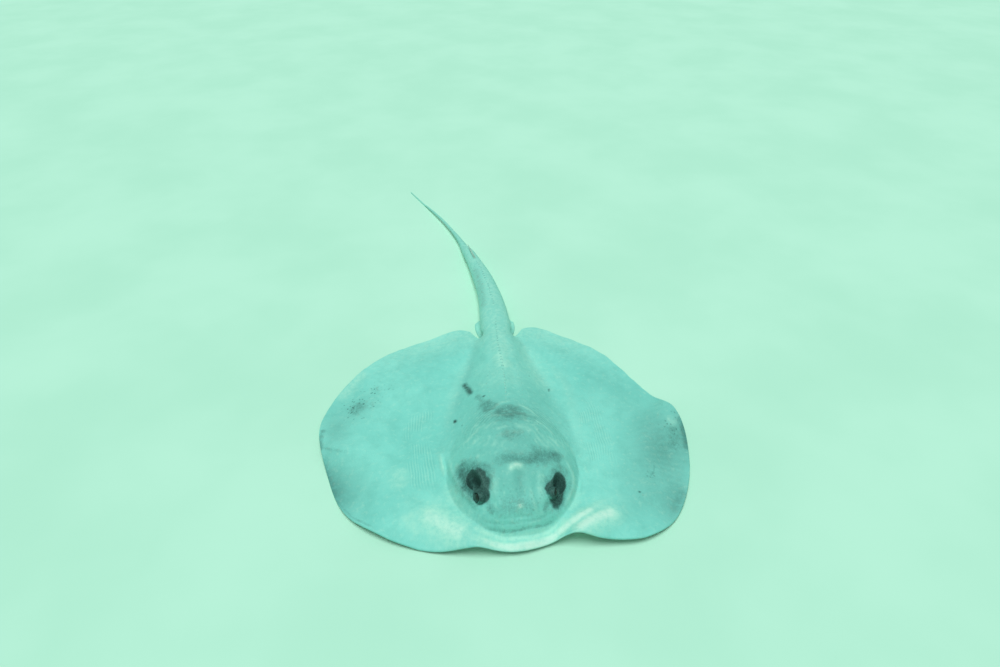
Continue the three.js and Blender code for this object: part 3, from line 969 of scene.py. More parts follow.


# ---- Markings, painted shade and painted light, as soft masks over the skin ----

# Dark strokes: dark skin, and painted shade on the wing tips and the right front margin, which turn
# away from the light, along the tail's shaded side, and in the grooves between the eyes and at the
# lips.
DARK_AND_SHADED_STROKES = {
    "patch on the shoulder": (9, 0.95, (-112, 124), (-105, 102), (-98, 78), (-92, 56), (-89, 38)),
    "patch on the shoulder, front": (11, 0.5, (-84, 36), (-70, 14), (-58, -14), (-46, -40)),
    # painted shade in the groove between the eyes and along the lip's folds
    "groove between the eyes": (11, 0.26, (11, -262), (9, -290), (6, -320)),
    "lip, upper": (3.2, 0.3),
    "lip, lower": (3.2, 0.5),
    "tear, right": (9, 0.55, (-70, -302), (-62, -322), (-52, -340)),
    "tear, left": (9, 0.5, (78, -306), (68, -324), (56, -338)),
    "cheek, right": (11, 0.42, (-146, -214), (-136, -250), (-114, -290)),
    # painted shade where the wings' margins and tips turn away from the light
    "margin, right, front": (
        15, 0.5, (-484, -90), (-472, -126), (-458, -164), (-440, -206), (-420, -238),
    ),
    "margin, right, front, thin": (5, 0.4, (-440, -206), (-410, -254), (-370, -296), (-320, -330)),
    "margin, right, tip": (9, 0.55, (-482, -10), (-486, -50), (-480, -92)),
    "crest of the right tip": (6, 0.35, (-482, -76), (-448, -92), (-404, -106)),
    "wing tip, left": (12, 0.6, (458, -48), (464, -84), (464, -120), (456, -150)),
    "wing tip, left, inner": (22, 0.42, (434, -78), (430, -118), (418, -152)),
    "wing tip, left, front": (16, 0.3, (418, -258), (396, -292), (362, -334)),
    "streak on the left wing": (4, 0.5, (354, -190), (355, -204), (348, -220), (334, -236)),
    "tail's shaded side": (16, 0.4, (-34, 430), (-34, 520), (-40, 640), (-58, 760)),
}
# Ragged dark skin, darkest round the eyes, where it also stands as painted shade in the hollows of the
# eyes and spiracles.
DARK_AND_SHADED_OVALS = {
    "left": ((94, -289), (22, 42), -23, 1.9),
    "left, halo": ((97, -284), (34, 56), -24, 0.95),
    "right": ((-82, -269), (22, 50), 20, 1.75),
    "right, halo": ((-94, -258), (44, 64), 26, 0.95),
    "right, rear": ((-104, -226), (34, 32), 24, 0.56),
    "right, outer": ((-117, -233), (30, 38), 24, 0.85),
    "left, rear": ((108, -242), (26, 24), -30, 0.46),
    "nape": ((4, -84), (70, 44), -6, 0.66),
    "nape, right": ((-52, -36), (32, 42), 30, 0.62),
    "behind the eyes": ((58, -224), (66, 34), 12, 0.68),
    "behind the eyes, middle": ((4, -230), (62, 26), 0, 0.62),
    "behind the eyes, left": ((98, -212), (32, 28), 20, 0.68),
    "small patch": ((-2, -166), (44, 22), 0, 0.5),
    "wing's patch": ((-400, 64), (42, 40), 0, 0.52),
    "wing's patch, rear": ((-356, 132), (26, 20), 0, 0.36),
    "snout": ((-4, -330), (70, 26), 0, 0.46),
}
# Dark marks no longer than a finger's breadth.
DOTS = {
    "shoulder": ((-57, 12), (5, 4), 0, 1.1),
    "right shoulder": ((-136, -38), (5.5, 9), 10, 1.2),
    "right shoulder, small": ((-118, -70), (3, 5), 10, 0.6),
    "left shoulder": ((128, 76), (3.6, 10), -12, 0.85),
    "left wing": ((299, -278), (4, 3), 0, 1.1),
    "back": ((76, 110), (3, 6), 0, 0.6),
}
# Broad darker tones without an edge: painted shade where the wings' tips, fronts and margins turn away
# from the light and beside the right side of the trunk, and darker skin on the head, the neck and a
# patch of the right wing.
SHADES_AND_TONES = {
    "left wing's tip": ((388, -140), (80, 104), -8, 0.7),
    "left wing's tip, edge": ((462, -100), (22, 60), 0, 0.55),
    "left wing's tip, front": ((386, -298), (32, 62), -35, 0.6),
    "left wing's rear": ((290, 60), (150, 130), 0, 0.13),
    "left wing's front": ((330, -288), (90, 50), 20, 0.26),
    "left wing's hollow": ((300, -230), (60, 60), 0, 0.22),
    "right wing's tip": ((-452, -20), (36, 84), 0, 0.36),
    "right wing's front": ((-440, -188), (26, 80), 28, 0.75),
    "right wing's front, inner": ((-404, -190), (52, 90), 28, 0.34),
    "right wing's patch": ((-398, 66), (56, 56), 0, 0.24),
    "trunk's side, right": ((-112, 110), (18, 150), -16, 0.24),
    "crown": ((4, -165), (40, 30), 0, 0.3),
    "head": ((6, -236), (110, 84), 0, 0.3),
    "groove between the eyes": ((9, -288), (13, 40), 0, 0.3),
    "neck": ((6, -70), (104, 70), 0, 0.26),
}
# Where small dark speckles lie.
SPECKLES = {
    "right wing": ((-400, 66), (48, 42), 0, 1.6),
    "right wing, rear": ((-358, 126), (40, 26), 0, 1),
    "left wing, front": ((335, -230), (30, 24), 0, 0.5),
    "left wing, front edge": ((318, -286), (22, 16), 0, 0.6),
    "left wing tip": ((432, -80), (34, 60), 0, 0.8),
    "head": ((10, -130), (110, 70), 0, 0.25),
    "face": ((10, -320), (90, 42), 0, 0.3),
}
# Pale dust on the skin, and painted light: on the right cheek's slope and the left flank, which turn
# from the light, and along the tail's lit top. Rows without places lighten the crests of folds.
PALE_DUST_AND_LIGHT_STROKES = {
    "front rim": (
        16, 1.3, (-150, -366), (-91, -380), (-65, -388), (-18, -397), (24, -394), (67, -382),
        (96, -366), (145, -341), (196, -312), (240, -290),
    ),
    "front rim, inner": (
        10, 0.9, (-150, -348), (-104, -352), (-60, -370), (-16, -379), (24, -377), (70, -364),
        (108, -344), (150, -322),
    ),
    "dust, right ruffle": (20, 0.6, (-214, -352), (-236, -330), (-262, -292)),
    "dust, right wing": (24, 0.5, (-262, -230), (-276, -196), (-268, -160)),
    "dust, left ruffle": (16, 0.7, (150, -330), (184, -356), (204, -340)),
    "crest of the head": (7, 1.15, (-14, -262), (-8, -252), (2, -248), (14, -250), (22, -256)),
    "rump's patch": (24, 0.85, (8, 110), (4, 150), (-4, 205)),
    "folds beside the head, right": (5, 0.7, (-176, -136), (-172, -172), (-163, -210)),
    # painted light on the right cheek's slope, which faces away from the light, with some dust
    "cheek's slope, right": (22, 0.5, (-158, -226), (-150, -270), (-130, -316), (-98, -346)),
    "cheek's slope, left": (12, 0.5, (150, -262), (140, -296), (116, -330)),
    "dust, right front": (40, 1.1, (-236, -286), (-190, -318), (-150, -350), (-96, -376)),
    "dust, left front": (24, 1.3, (104, -380), (136, -374), (164, -360), (202, -343), (250, -326)),
    "knob": (7, 1.2, (5, -326), (7, -338)),
    "brow, left": (8, 0.3, (62, -256), (57, -284), (56, -308), (61, -328)),
    "brow, right": (8, 0.3, (-60, -250), (-52, -270), (-49, -292), (-53, -316)),
    "plate's edge, left": (4, 0.4),
    "inner fold, right": (5, 0.28),
    "outer fold, right": (6, 0.5),
    "inner fold, left": (5, 0.6),
    "trunk's side, right": (16, 0.2),
    "trunk's side, left": (16, 0.2),
    "back": (60, 0.3, (0, 20), (2, 100), (4, 180)),
    # painted light on the left flank, which faces away from the light
    "flank, left": (34, 0.42, (52, 335), (80, 250), (100, 150), (112, 40)),
    "right wing's rear edge": (26, 0.6, (-392, 238), (-425, 190), (-450, 140), (-468, 100)),
    "left wing's tip": (11, 0.5, (422, -62), (434, -72), (446, -82)),
    "behind the nape": (10, 0.3, (8, -138), (30, -146), (54, -160)),
    "rump": (36, 0.6, (10, 150), (8, 210), (4, 300), (2, 380)),
    # painted light along the tail's lit top
    "tail": (28, 0.62, (6, 400), (2, 480), (-6, 600), (-28, 740), (-60, 860)),
    "ring behind the head, 1": (4, 0.5),
    "ring behind the head, 2": (4, 0.5),
    "ring behind the head, 3": (4, 0.45),
}
DARK_FADE, PALE_FADE, OPENING_FADE = 0.18, 0.25, 0.45
# how dark the skin round the spiracles and lids is painted, dark skin and painted shade, and the
# lighter paint inside the spiracles, painted light against their shade
PIT_STRENGTH, PIT_FLOOR = 1.35, 1.05
LID_MIDDLE = (4, 4, 4)  # the lid's dark skin and painted shade are centred this far from the eyeball's middle
FIN_SHARE = 1.002  # beyond this share of the way out, the skin is that of a fin or the tail


def flank_lines(x, y):
    """The fine lines along the body's sides: which line a place is at, and how plain it is."""
    side = np.abs(x + 0.03 * (y + 100)) + 0.0004 * (y + 90) ** 2
    side = side + 6 * noise(x, y, 90, 24) + 2.2 * noise(x, y, 27, 35)
    plain = smoothstep(side, 184, 206) * (1 - smoothstep(side, 252, 290))
    plain = plain * smoothstep(y, -270, -200) * (1 - smoothstep(y, 10, 90))
    return side / 6.6, plain * (0.15 + 0.85 * smoothstep(noise(x, y, 34, 29, 2), -0.35, 0.35))


def flecks(x, y):
    """Broken pale arcs behind the eyes, which run round the back of the head."""
    far = np.hypot(x - 5, 0.95 * (y + 236)) + 13 * noise(x, y, 40, 51, 2)
    arcs = 0.5 + 0.5 * np.sin(far * 2 * np.pi / 17)
    broken = smoothstep(noise(x, y, 21, 52, 3), -0.1, 0.55)
    behind = smoothstep(y, -226, -196) * smoothstep(far, 26, 60) * (1 - smoothstep(far, 140, 180))
    return arcs * broken * behind


def dark_marks_and_shade(at):
    """How dark each point is painted, by dark skin and by painted shade: 0 is plain skin, and the
    darkest begins at about 1.1.
    """
    x, y, _ = at.T
    dark = paint_strokes(DARK_AND_SHADED_STROKES, x, y, DARK_FADE)
    uneven = 0.3 * noise(x, y, 24, 41, 3)
    for *place, strength in DARK_AND_SHADED_OVALS.values():
        far = np.sqrt(-np.log(np.maximum(blob(x, y, *place), 1e-9))) + uneven
        dark = np.maximum(dark, strength * (1 - smoothstep(far, 0.15, 1.35)))
    dark = np.maximum(dark, paint_spots(DOTS, x, y))
    # round each spiracle and lid: dark skin and painted shade of the hollow, painted a little lighter
    # inside the spiracle as painted light against the hole's own shade
    for side, mirror in SIDES.items():
        pit = in_spiracle(x, y, mirror)
        dark = np.maximum(dark, PIT_STRENGTH * (1 - smoothstep(pit, 0.9, 1.5)))
        off = np.linalg.norm(at - EYES[side] - LID_MIDDLE, axis=1)
        dark = np.maximum(dark, PIT_STRENGTH * (1 - smoothstep(off + 16 * uneven, 15, 28)))
        inside = 1 - smoothstep(pit, 0.7, 1.0)
        dark = dark * (1 - inside) + PIT_FLOOR * inside
    return dark


def pale_dust_and_light(x, y, out, inset):
    """How pale each place is painted, by dust and by painted light."""
    pale = paint_strokes(PALE_DUST_AND_LIGHT_STROKES, x, y, PALE_FADE)
    hind = smoothstep(y, 150, 380) * smoothstep(out, 0.6, 0.98)
    hem = (1 - smoothstep(np.abs(inset), 1.5, 5)) * smoothstep(y, -60, 120)
    # fine flecks, the paler hind part of the disc, and a hem along its rear margin
    for strength, more in ((0.5, flecks(x, y)), (0.5, hind), (0.35, hem)):
        pale = np.maximum(pale, strength * more)
    return pale


def masks(mesh):
    """Markings, painted shade and painted light of the skin by place, for its material to read."""
    at = coords(mesh)
    x, y, z = at.T
    _, out, reach = polar(x, y)
    inset = (1 - out) * reach
    low, high, middle = faces_at(x, y)
    tail_share, tail_low = tail_place(at)
    on_tail = tail_share > 0
    on_fin = (out > FIN_SHARE) & ~on_tail
    facing = read(mesh.vertices, "normal", np.float32, 3)[:, 2]
    # the white underside: by height in the disc, by the way it faces on the fins and the tail
    level = (z - low + 0.4) / (np.maximum(high - low, 0) + 0.8)
    under = np.where(on_fin, smoothstep(-facing, 0.25, 0.6), 1 - smoothstep(level, 0.25, 0.6))
    under = np.where(on_tail, tail_low, under)
    under = np.where(y > 300, under * (1 - smoothstep(facing, 0.0, 0.4)), under)
    upper = 1 - under
    # broad darker tones: darker skin, and painted shade on the wing tips and margins that turn from the
    # light and beside the trunk
    tone = np.zeros(len(x))
    for *place, strength in SHADES_AND_TONES.values():
        tone = 1 - (1 - tone) * (1 - strength * blob(x, y, *place))
    # above 0.5 in the troughs of the fine wrinkles and below it on their crests, for painted shade and
    # painted highlight
    wrinkled = np.clip(0.5 - creases(x, y) * (z > middle) / 1.6, 0, 1)
    number, plain = flank_lines(x, y)
    paint(mesh, "under", under)
    paint(mesh, "dark", dark_marks_and_shade(at) * (1 - 0.8 * under))
    paint(mesh, "tone", tone * upper)
    paint(mesh, "speckle", paint_spots(SPECKLES, x, y) * upper)
    paint(mesh, "pale", pale_dust_and_light(x, y, out, inset) * upper)
    paint(mesh, "crease", np.where(on_tail, 0.5, wrinkled))
    paint(mesh, "body", np.clip(hump(x, y) / 70, 0, 1) * upper)
    paint(mesh, "margin", np.where(on_tail | on_fin, 0, 1 - smoothstep(inset, 4, 46)))
    paint(mesh, "whip", smoothstep(tail_share, 0.3, 0.62))
    paint(mesh, "line_number", number)
    paint(mesh, "line_share", plain * upper * ~on_tail)
    paint(mesh, "opening", openings(x, y) * under)


def openings(x, y):
    """The mouth, nostrils, gill slits and vent, for painted shade inside them."""
    insides = {name: (0.85 * row[0], 1, *row[2:]) for name, row in UNDER_GROOVES.items()}
    return paint_strokes(insides, x, y, OPENING_FADE)


def tail_place(at):
    """Each point's share along the tail (0 off it) and how far it is on the tail's lower side."""
    share = np.zeros(len(at))
    lower = np.zeros(len(at))
    near = at[:, 1] > 352
    p = at[near]
    line, far = TAIL_PATH[::4], TAIL_FAR[::4]
    best = np.empty(len(p), int)
    batch = 4000
    for start in range(0, len(p), batch):
        part = p[start:start + batch, None, :2]
        best[start:start + batch] = np.argmin(((part - line) ** 2).sum(-1), 1)
    where = far[best] / TAIL_END
    middle, _, _, half_width, half_height, _ = tail_at(where)
    off = np.hypot(*(p[:, :2] - line[best]).T)
    share[near] = np.where(off < half_width + 1.5, where, 0)
    lower[near] = smoothstep((middle[:, 2] - p[:, 2]) / half_height, 0.25, 0.75)
    return share, lower


def bake_place(x, y):
    """Where a place of the skin lies on the flat layout of its upper half."""
    u = np.interp(x, [-500, -190, 190, 500], [0.008, 0.14, 0.352, 0.484])
    v = np.interp(y, [-410, -20, 410, 1450], [0.01, 0.46, 0.80, 0.99])
    return u, v


LOWER_HALF = 0.505  # the lower half lies this far to the right of the upper one


def unwrap(mesh):
    """The skin laid out flat in two halves, upper and lower, with most room for the head."""
    loops = read(mesh.loops, "vertex_index")
    up = read(mesh.polygons, "normal", np.float32, 3)[:, 2] >= 0
    upper = np.repeat(up, read(mesh.polygons, "loop_total"))
    x, y, _ = coords(mesh).T
    u, v = bake_place(x, y)
    lay_out(mesh, np.column_stack([u[loops] + np.where(upper, 0, LOWER_HALF), v[loops]]))


# ---- Materials ----


class Look:
    """A node material under construction, whose colour is laid on in coats."""

    def __init__(self, name):
        self.material = bpy.data.materials.new(name)
        self.material.use_nodes = True
        self.tree = self.material.node_tree
        self.shader = self.tree.nodes["Principled BSDF"]
        self.where = self.node("ShaderNodeTexCoord").outputs["Object"]
        self.colour = None

    def node(self, kind, props=None, **inputs):
        """A new node. An input named by its place in the list is written _0, _1 and so on."""
        made = self.tree.nodes.new(kind)
        for key, value in (props or {}).items():
            setattr(made, key, value)
        for key, value in inputs.items():
            self.put(made.inputs[int(key[1:]) if key[0] == "_" else key], value)
        return made

    def put(self, socket, value):
        if isinstance(value, bpy.types.NodeSocket):
            self.tree.links.new(value, socket)
        else:
            socket.default_value = value

    def attribute(self, name):
        return self.node("ShaderNodeAttribute", {"attribute_name": name}).outputs["Fac"]

    def noise(self, where, scale, detail, roughness=0.55):
        inputs = {"Vector": where, "Scale": scale, "Detail": detail, "Roughness": roughness}
        return self.node("ShaderNodeTexNoise", **inputs).outputs["Fac"]

    def math(self, operation, a, b=0.0, clamp=False):
        props = {"operation": operation, "use_clamp": clamp}
        return self.node("ShaderNodeMath", props, _0=a, _1=b, _2=0.0).outputs[0]

    def times(self, a, b, clamp=False):
        return self.math("MULTIPLY", a, b, clamp)

    def plus(self, a, b):
        return self.math("ADD", a, b)

    def less(self, a, b, clamp=False):
        return self.math("SUBTRACT", a, b, clamp)

    def at_most_one(self, value):
        return self.math("MINIMUM", value, 1.0)

    def vector_math(self, operation, *vectors):
        inputs = {f"_{number}": vector for number, vector in enumerate(vectors)}
        return self.node("ShaderNodeVectorMath", {"operation": operation}, **inputs).outputs[0]

    def ramp(self, value, low, high, to_low=0.0, to_high=1.0):
        """A smooth step from to_low, where the value is low, to to_high."""
        ends = {"_1": low, "_2": high, "_3": to_low, "_4": to_high}
        props = {"interpolation_type": "SMOOTHSTEP"}
        return self.node("ShaderNodeMapRange", props, _0=value, **ends).outputs[0]

    def mix(self, share, a, b):
        props = {"data_type": "RGBA", "blend_type": "MIX"}
        return self.node("ShaderNodeMix", props, _0=share, _6=a, _7=b).outputs[2]

    def coat(self, share, tone):
        """Lays a tone over the colour."""
        self.colour = self.mix(share, self.colour, tone)

    def finish(self, rough, shines=None, **bump):
        """Hands the colour, roughness, constant values and bump to the shader."""
        self.put(self.shader.inputs["Base Color"], self.colour)
        self.put(self.shader.inputs["Roughness"], rough)
        for name, value in (shines or {}).items():
            self.shader.inputs[name].default_value = value
        if bump:
            normal = self.node("ShaderNodeBump", **bump).outputs["Normal"]
            self.put(self.shader.inputs["Normal"], normal)
        return self.material


def srgb(*levels):
    """A colour from its levels of 0 to 255."""
    shares = [level / 255 for level in levels]
    return (*(v / 12.92 if v <= 0.04045 else ((v + 0.055) / 1.055) ** 2.4 for v in shares), 1.0)


WATER = (0.45, 0.95, 0.82, 1.0)  # the tint that green water gives to what the skin reflects
WING_LIGHT = srgb(138, 228, 213)
WING_SHADE = srgb(124, 216, 202)
BODY_TONE = srgb(118, 208, 193)
BODY_SHADE = srgb(100, 184, 170)
BODY_DARK = srgb(62, 116, 108)
# the darkest skin round the eyes and in the spiracles, with painted shade of their hollows
PIT_DARK = srgb(40, 72, 67)
PIT_GREY = srgb(60, 100, 92)
# pale dust; the same colour is laid on wrinkle crests and flank-line ridges as painted highlight
DUST_AND_HIGHLIGHT = srgb(176, 240, 218)
BRIGHT_DUST = srgb(210, 249, 232)
# the colour of the broad darker tones, painted shade among them
DEEP_SHADE_AND_TONE = srgb(84, 152, 142)
BELLY_WHITE = srgb(214, 232, 224)
# the belly's grey border, which also acts as painted shade in the gap under the lifted rim
BELLY_EDGE_AND_SHADE = srgb(140, 176, 168)
# painted shade inside the mouth, nostrils, gill slits and vent
OPENING_SHADE = srgb(96, 108, 104)


def skin_material():
    look = Look("ray_skin")
    warp = look.node("ShaderNodeTexNoise", Vector=look.where, Scale=9.0, Detail=2.0)
    bent = look.vector_math("MULTIPLY_ADD", warp.outputs["Color"], (0.03, 0.03, 0.03), look.where)
    broad = look.noise(bent, 6.0, 3.0)
    patch = look.noise(bent, 26.0, 5.0, 0.6)
    mottle = look.noise(bent, 85.0, 5.0, 0.62)
    fine = look.noise(look.where, 330.0, 4.0, 0.6)
    grit = look.noise(look.where, 900.0, 2.0, 0.5)
    names = ("dark", "pale", "speckle", "under", "body", "crease", "margin", "whip", "opening")
    dark, pale, speckle, under, body, crease, margin, whip, opening = map(look.attribute, names)
    turn = look.times(look.attribute("line_number"), 2 * math.pi)
    flank = look.times(look.math("SINE", turn), look.attribute("line_share"))
    plain = look.less(1.0, look.at_most_one(look.times(dark, 1.4)), clamp=True)

    look.colour = look.mix(look.ramp(broad, 0.3, 0.7), WING_SHADE, WING_LIGHT)
    look.coat(look.times(body, 0.7), BODY_TONE)
    look.coat(look.times(look.ramp(patch, 0.4, 0.75), 0.26), BODY_SHADE)
    # broad darker tones, partly painted shade, uneven with the mottle
    uneven_shade_and_tone = look.times(look.attribute("tone"), look.ramp(mottle, 0.25, 0.7, 0.8, 1.15))
    look.coat(look.at_most_one(uneven_shade_and_tone), DEEP_SHADE_AND_TONE)
    look.coat(look.times(look.ramp(mottle, 0.5, 0.75), 0.3), DUST_AND_HIGHLIGHT)
    # painted shade in the troughs of the fine wrinkles, and painted highlight on their crests
    look.coat(look.times(look.ramp(crease, 0.5, 0.95), 0.36), BODY_DARK)
    look.coat(look.times(look.ramp(crease, 0.5, 0.1), 0.3), DUST_AND_HIGHLIGHT)
    # the flank lines are painted darker in their grooves and paler on their ridges: painted shade and
    # painted highlight
    look.coat(look.times(look.ramp(flank, 0.2, 0.95), 0.07), BODY_DARK)
    look.coat(look.times(look.ramp(flank, -0.3, -0.95), 0.26), DUST_AND_HIGHLIGHT)
    look.coat(look.times(whip, 0.45), BODY_SHADE)
    # pale dust, and painted light on some slopes and the tail's top, lie in soft patches; dust also
    # lies in single grains
    pale_cover = look.times(pale, look.ramp(mottle, 0.3, 0.62, 0.45, 1.0))
    look.coat(look.times(pale_cover, 0.9, clamp=True), DUST_AND_HIGHLIGHT)
    bright = look.times(look.ramp(pale, 0.8, 1.4), look.ramp(mottle, 0.3, 0.7, 0.4, 0.8))
    look.coat(bright, BRIGHT_DUST)
    grains = look.times(look.ramp(grit, 0.62, 0.72), look.ramp(broad, 0.3, 0.7, 0.15, 0.5))
    look.coat(look.times(grains, plain), DUST_AND_HIGHLIGHT)
    # dark skin and painted shade have ragged, grainy borders
    coarse_rag, fine_rag = look.less(mottle, 0.5), look.less(fine, 0.5)
    rag = look.plus(coarse_rag, look.times(fine_rag, 0.7))
    held = look.ramp(dark, 0.02, 0.3)
    amount = look.times(held, look.ramp(dark, 0.5, 0.95, 0.85, 1.3))
    ragged = look.plus(dark, look.times(rag, amount))
    look.coat(look.times(look.ramp(ragged, 0.1, 1.0), 0.85), BODY_DARK)
    # the darkest places, round the eyes and in the spiracles: dark skin with painted shade of their
    # hollows
    deep = look.plus(dark, look.times(look.times(coarse_rag, 0.9), held))
    pit = look.mix(look.ramp(fine, 0.35, 0.65), PIT_DARK, PIT_GREY)
    look.coat(look.ramp(deep, 0.68, 1.12), pit)
    # small dark speckles
    cells = look.node("ShaderNodeTexVoronoi", Vector=bent, Scale=95.0, Randomness=1.0)
    near_middle = look.ramp(cells.outputs["Distance"], 0.34, 0.12)
    dots = look.times(near_middle, look.ramp(patch, 0.4, 0.54))
    look.coat(look.times(dots, look.times(speckle, 0.9)), BODY_DARK)
    pores = look.times(look.ramp(grit, 0.38, 0.3), 0.4)
    look.coat(pores, BODY_SHADE)
    # the white belly, with a grey border that also acts as painted shade in the gap under the lifted
    # rim
    belly = look.mix(look.times(margin, 0.7), BELLY_WHITE, BELLY_EDGE_AND_SHADE)
    belly = look.mix(look.times(look.ramp(patch, 0.45, 0.75), 0.25), belly, BELLY_EDGE_AND_SHADE)
    # painted shade inside the openings
    belly = look.mix(look.times(look.ramp(opening, 0.2, 1.0), 0.85), belly, OPENING_SHADE)
    look.coat(under, belly)

    rough = look.plus(look.ramp(fine, 0.3, 0.7, 0.48, 0.64), look.times(pale, 0.12))
    rough = look.less(rough, look.times(look.at_most_one(dark), 0.05), clamp=True)
    height = look.plus(look.times(mottle, 0.9), look.times(fine, 0.45))
    height = look.plus(height, look.times(grit, 0.16))
    height = look.less(height, look.times(flank, 0.16))
    shines = {
        "Specular IOR Level": 0.36, "Specular Tint": WATER,
        "Coat Weight": 0.05, "Coat Roughness": 0.35,
    }
    return look.finish(rough, shines, Strength=0.75, Distance=0.0016, Height=height)


def eye_material():
    look = Look("ray_eye")
    streak = look.noise(look.where, 900.0, 4.0, 0.7)
    look.colour = look.mix(look.ramp(streak, 0.35, 0.7), srgb(20, 32, 30), srgb(48, 66, 56))
    look.coat(look.ramp(look.attribute("iris"), 0.55, 0.8), srgb(14, 24, 23))
    look.coat(look.ramp(look.attribute("pupil"), 0.45, 0.55), srgb(4, 7, 7))
    shines = {
        "Specular Tint": WATER, "Coat Weight": 0.35,
        "Coat Tint": WATER, "Coat Roughness": 0.05,
    }
    rough = look.ramp(streak, 0.2, 0.8, 0.10, 0.22)
    return look.finish(rough, shines, Strength=0.3, Distance=0.0003, Height=streak)


def sting_material():
    look = Look("ray_sting")
    along = look.vector_math("MULTIPLY", look.where, (1.0, 0.08, 1.0))
    streak = look.noise(along, 700.0, 5.0, 0.6)
    stain = look.noise(look.where, 60.0, 3.0)
    look.colour = look.mix(look.ramp(streak, 0.35, 0.7), srgb(132, 188, 170), srgb(176, 220, 200))
    look.coat(look.times(look.ramp(stain, 0.4, 0.65), 0.5), srgb(100, 150, 134))
    rough = look.ramp(streak, 0.3, 0.7, 0.34, 0.55)
    return look.finish(rough, Strength=0.6, Distance=0.0004, Height=streak)


def thorn_material():
    look = Look("ray_thorns")
    tint = look.noise(look.where, 160.0, 3.0)
    streak = look.noise(look.where, 1400.0, 3.0)
    look.colour = look.mix(look.ramp(tint, 0.35, 0.65), srgb(112, 196, 182), srgb(140, 216, 198))
    look.coat(look.ramp(look.attribute("tip"), 0.45, 1.0), srgb(168, 226, 206))
    look.coat(look.times(look.ramp(streak, 0.5, 0.7), 0.3), BODY_SHADE)
    rough = look.ramp(streak, 0.3, 0.7, 0.38, 0.55)
    return look.finish(rough, Strength=0.4, Distance=0.0003, Height=streak)


def floor_material():
    look = Look("plain_floor")
    tone = look.noise(look.where, 2.0, 3.0)
    look.colour = look.mix(look.ramp(tone, 0.3, 0.7), srgb(182, 238, 213), srgb(189, 243, 219))
    return look.finish(0.9, {"Specular IOR Level": 0.15})


# ---- The skin ----

skin = new_mesh("skin", *shape_disc())
tail = new_mesh("tail_tube", *shape_tail())
fins = [new_mesh(f"fin_{side}", *shape_fin(mirror)) for side, mirror in SIDES.items()]
for number, piece in enumerate([skin, tail, *fins]):
    mark(piece, number)
unite(skin, [tail, *fins])
soften_seams(skin)
skin.data.materials.clear()
skin.data.materials.append(skin_material())
set_slot(skin.data, 0)
masks(skin.data)
unwrap(skin.data)
shade_smooth(skin.data)
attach(skin, "root")
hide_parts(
    "head", "trunk", "wing_left", "wing_right", "pelvic_fin_left", "pelvic_fin_right",
    "tail_1", "tail_2", "tail_3", "tail_4",
)


# ---- Thorns ----

THORN_SEED = 7
BACK_THORNS_FROM, BACK_THORNS_TO = -66.0, 384
SIDE_THORNS_FROM, SIDE_THORN_STEP, SIDE_THORN_COUNT = -34, 19, 9
TAIL_THORNS_FROM, TAIL_THORN_COUNT = 0.19, 22
THORN_AROUND, THORN_LEVELS = 20, 9
THORN_ROOT = 0.7  # how deep a thorn's foot lies in the skin
THORN_PATCH = 0.0015  # how wide a thorn lies on the flat layout


def thorn_places():
    """Place in the plan and height of each thorn: rows along the back, its sides and the tail."""
    rng = np.random.default_rng(THORN_SEED)
    out = []
    y = BACK_THORNS_FROM
    while y < BACK_THORNS_TO:
        hind = float(smoothstep(y, 260, BACK_THORNS_TO))
        sized = 2.2 + 1.3 * float(smoothstep(y, BACK_THORNS_FROM, 60)) * (1 - 0.3 * hind)
        out.append((3 * math.sin(y / 60) + rng.uniform(-1, 1), y, sized * rng.uniform(0.8, 1.15)))
        y += rng.uniform(11, 17)
    for mirror in SIDES.values():
        for step in range(SIDE_THORN_COUNT):
            y = SIDE_THORNS_FROM + SIDE_THORN_STEP * step + rng.uniform(-4, 4)
            bow = math.sin((step + 1) / (SIDE_THORN_COUNT + 1) * math.pi)
            x = mirror * (34 + 13 * bow) + rng.uniform(-3, 3)
            out.append((x, y, rng.uniform(1.7, 2.4)))
    shares = np.linspace(TAIL_THORNS_FROM, STING_AT - 0.02, TAIL_THORN_COUNT)
    middle, _, across, half_width, _, _ = tail_at(shares)
    for number, (place, side, half) in enumerate(zip(middle, across, half_width)):
        off = rng.uniform(-0.05, 0.05) * half * side
        out.append((place[0] + off[0], place[1] + off[1], rng.uniform(2.6, 3.8)))
        if number % 2:
            off = rng.choice([-1, 1]) * rng.uniform(0.3, 0.5) * half * side
            out.append((place[0] + off[0], place[1] + off[1], rng.uniform(1.6, 2.2)))
    return out


def thorn_rings(root, up, high, lift, c, s):
    """A thorn's rings: a foot that spreads into the skin, and a hooked point."""
    back = unit(np.array([0, 1.0, 0]) - up * up[1])
    side = np.cross(back, up)
    wide = high * (0.95 * (1 - lift) ** 2.2 + 0.24 * (1 - lift) + 0.02)
    star = 1 + 0.12 * np.cos(5 * np.arctan2(s, c)) * (1 - lift)
    return (
        root - THORN_ROOT * up
        + (lift * (high + THORN_ROOT))[..., None] * up
        + (0.95 * high * lift**1.7)[..., None] * back
        + (wide * star * c)[..., None] * side
        + (wide * star * s * 1.25)[..., None] * back
    )


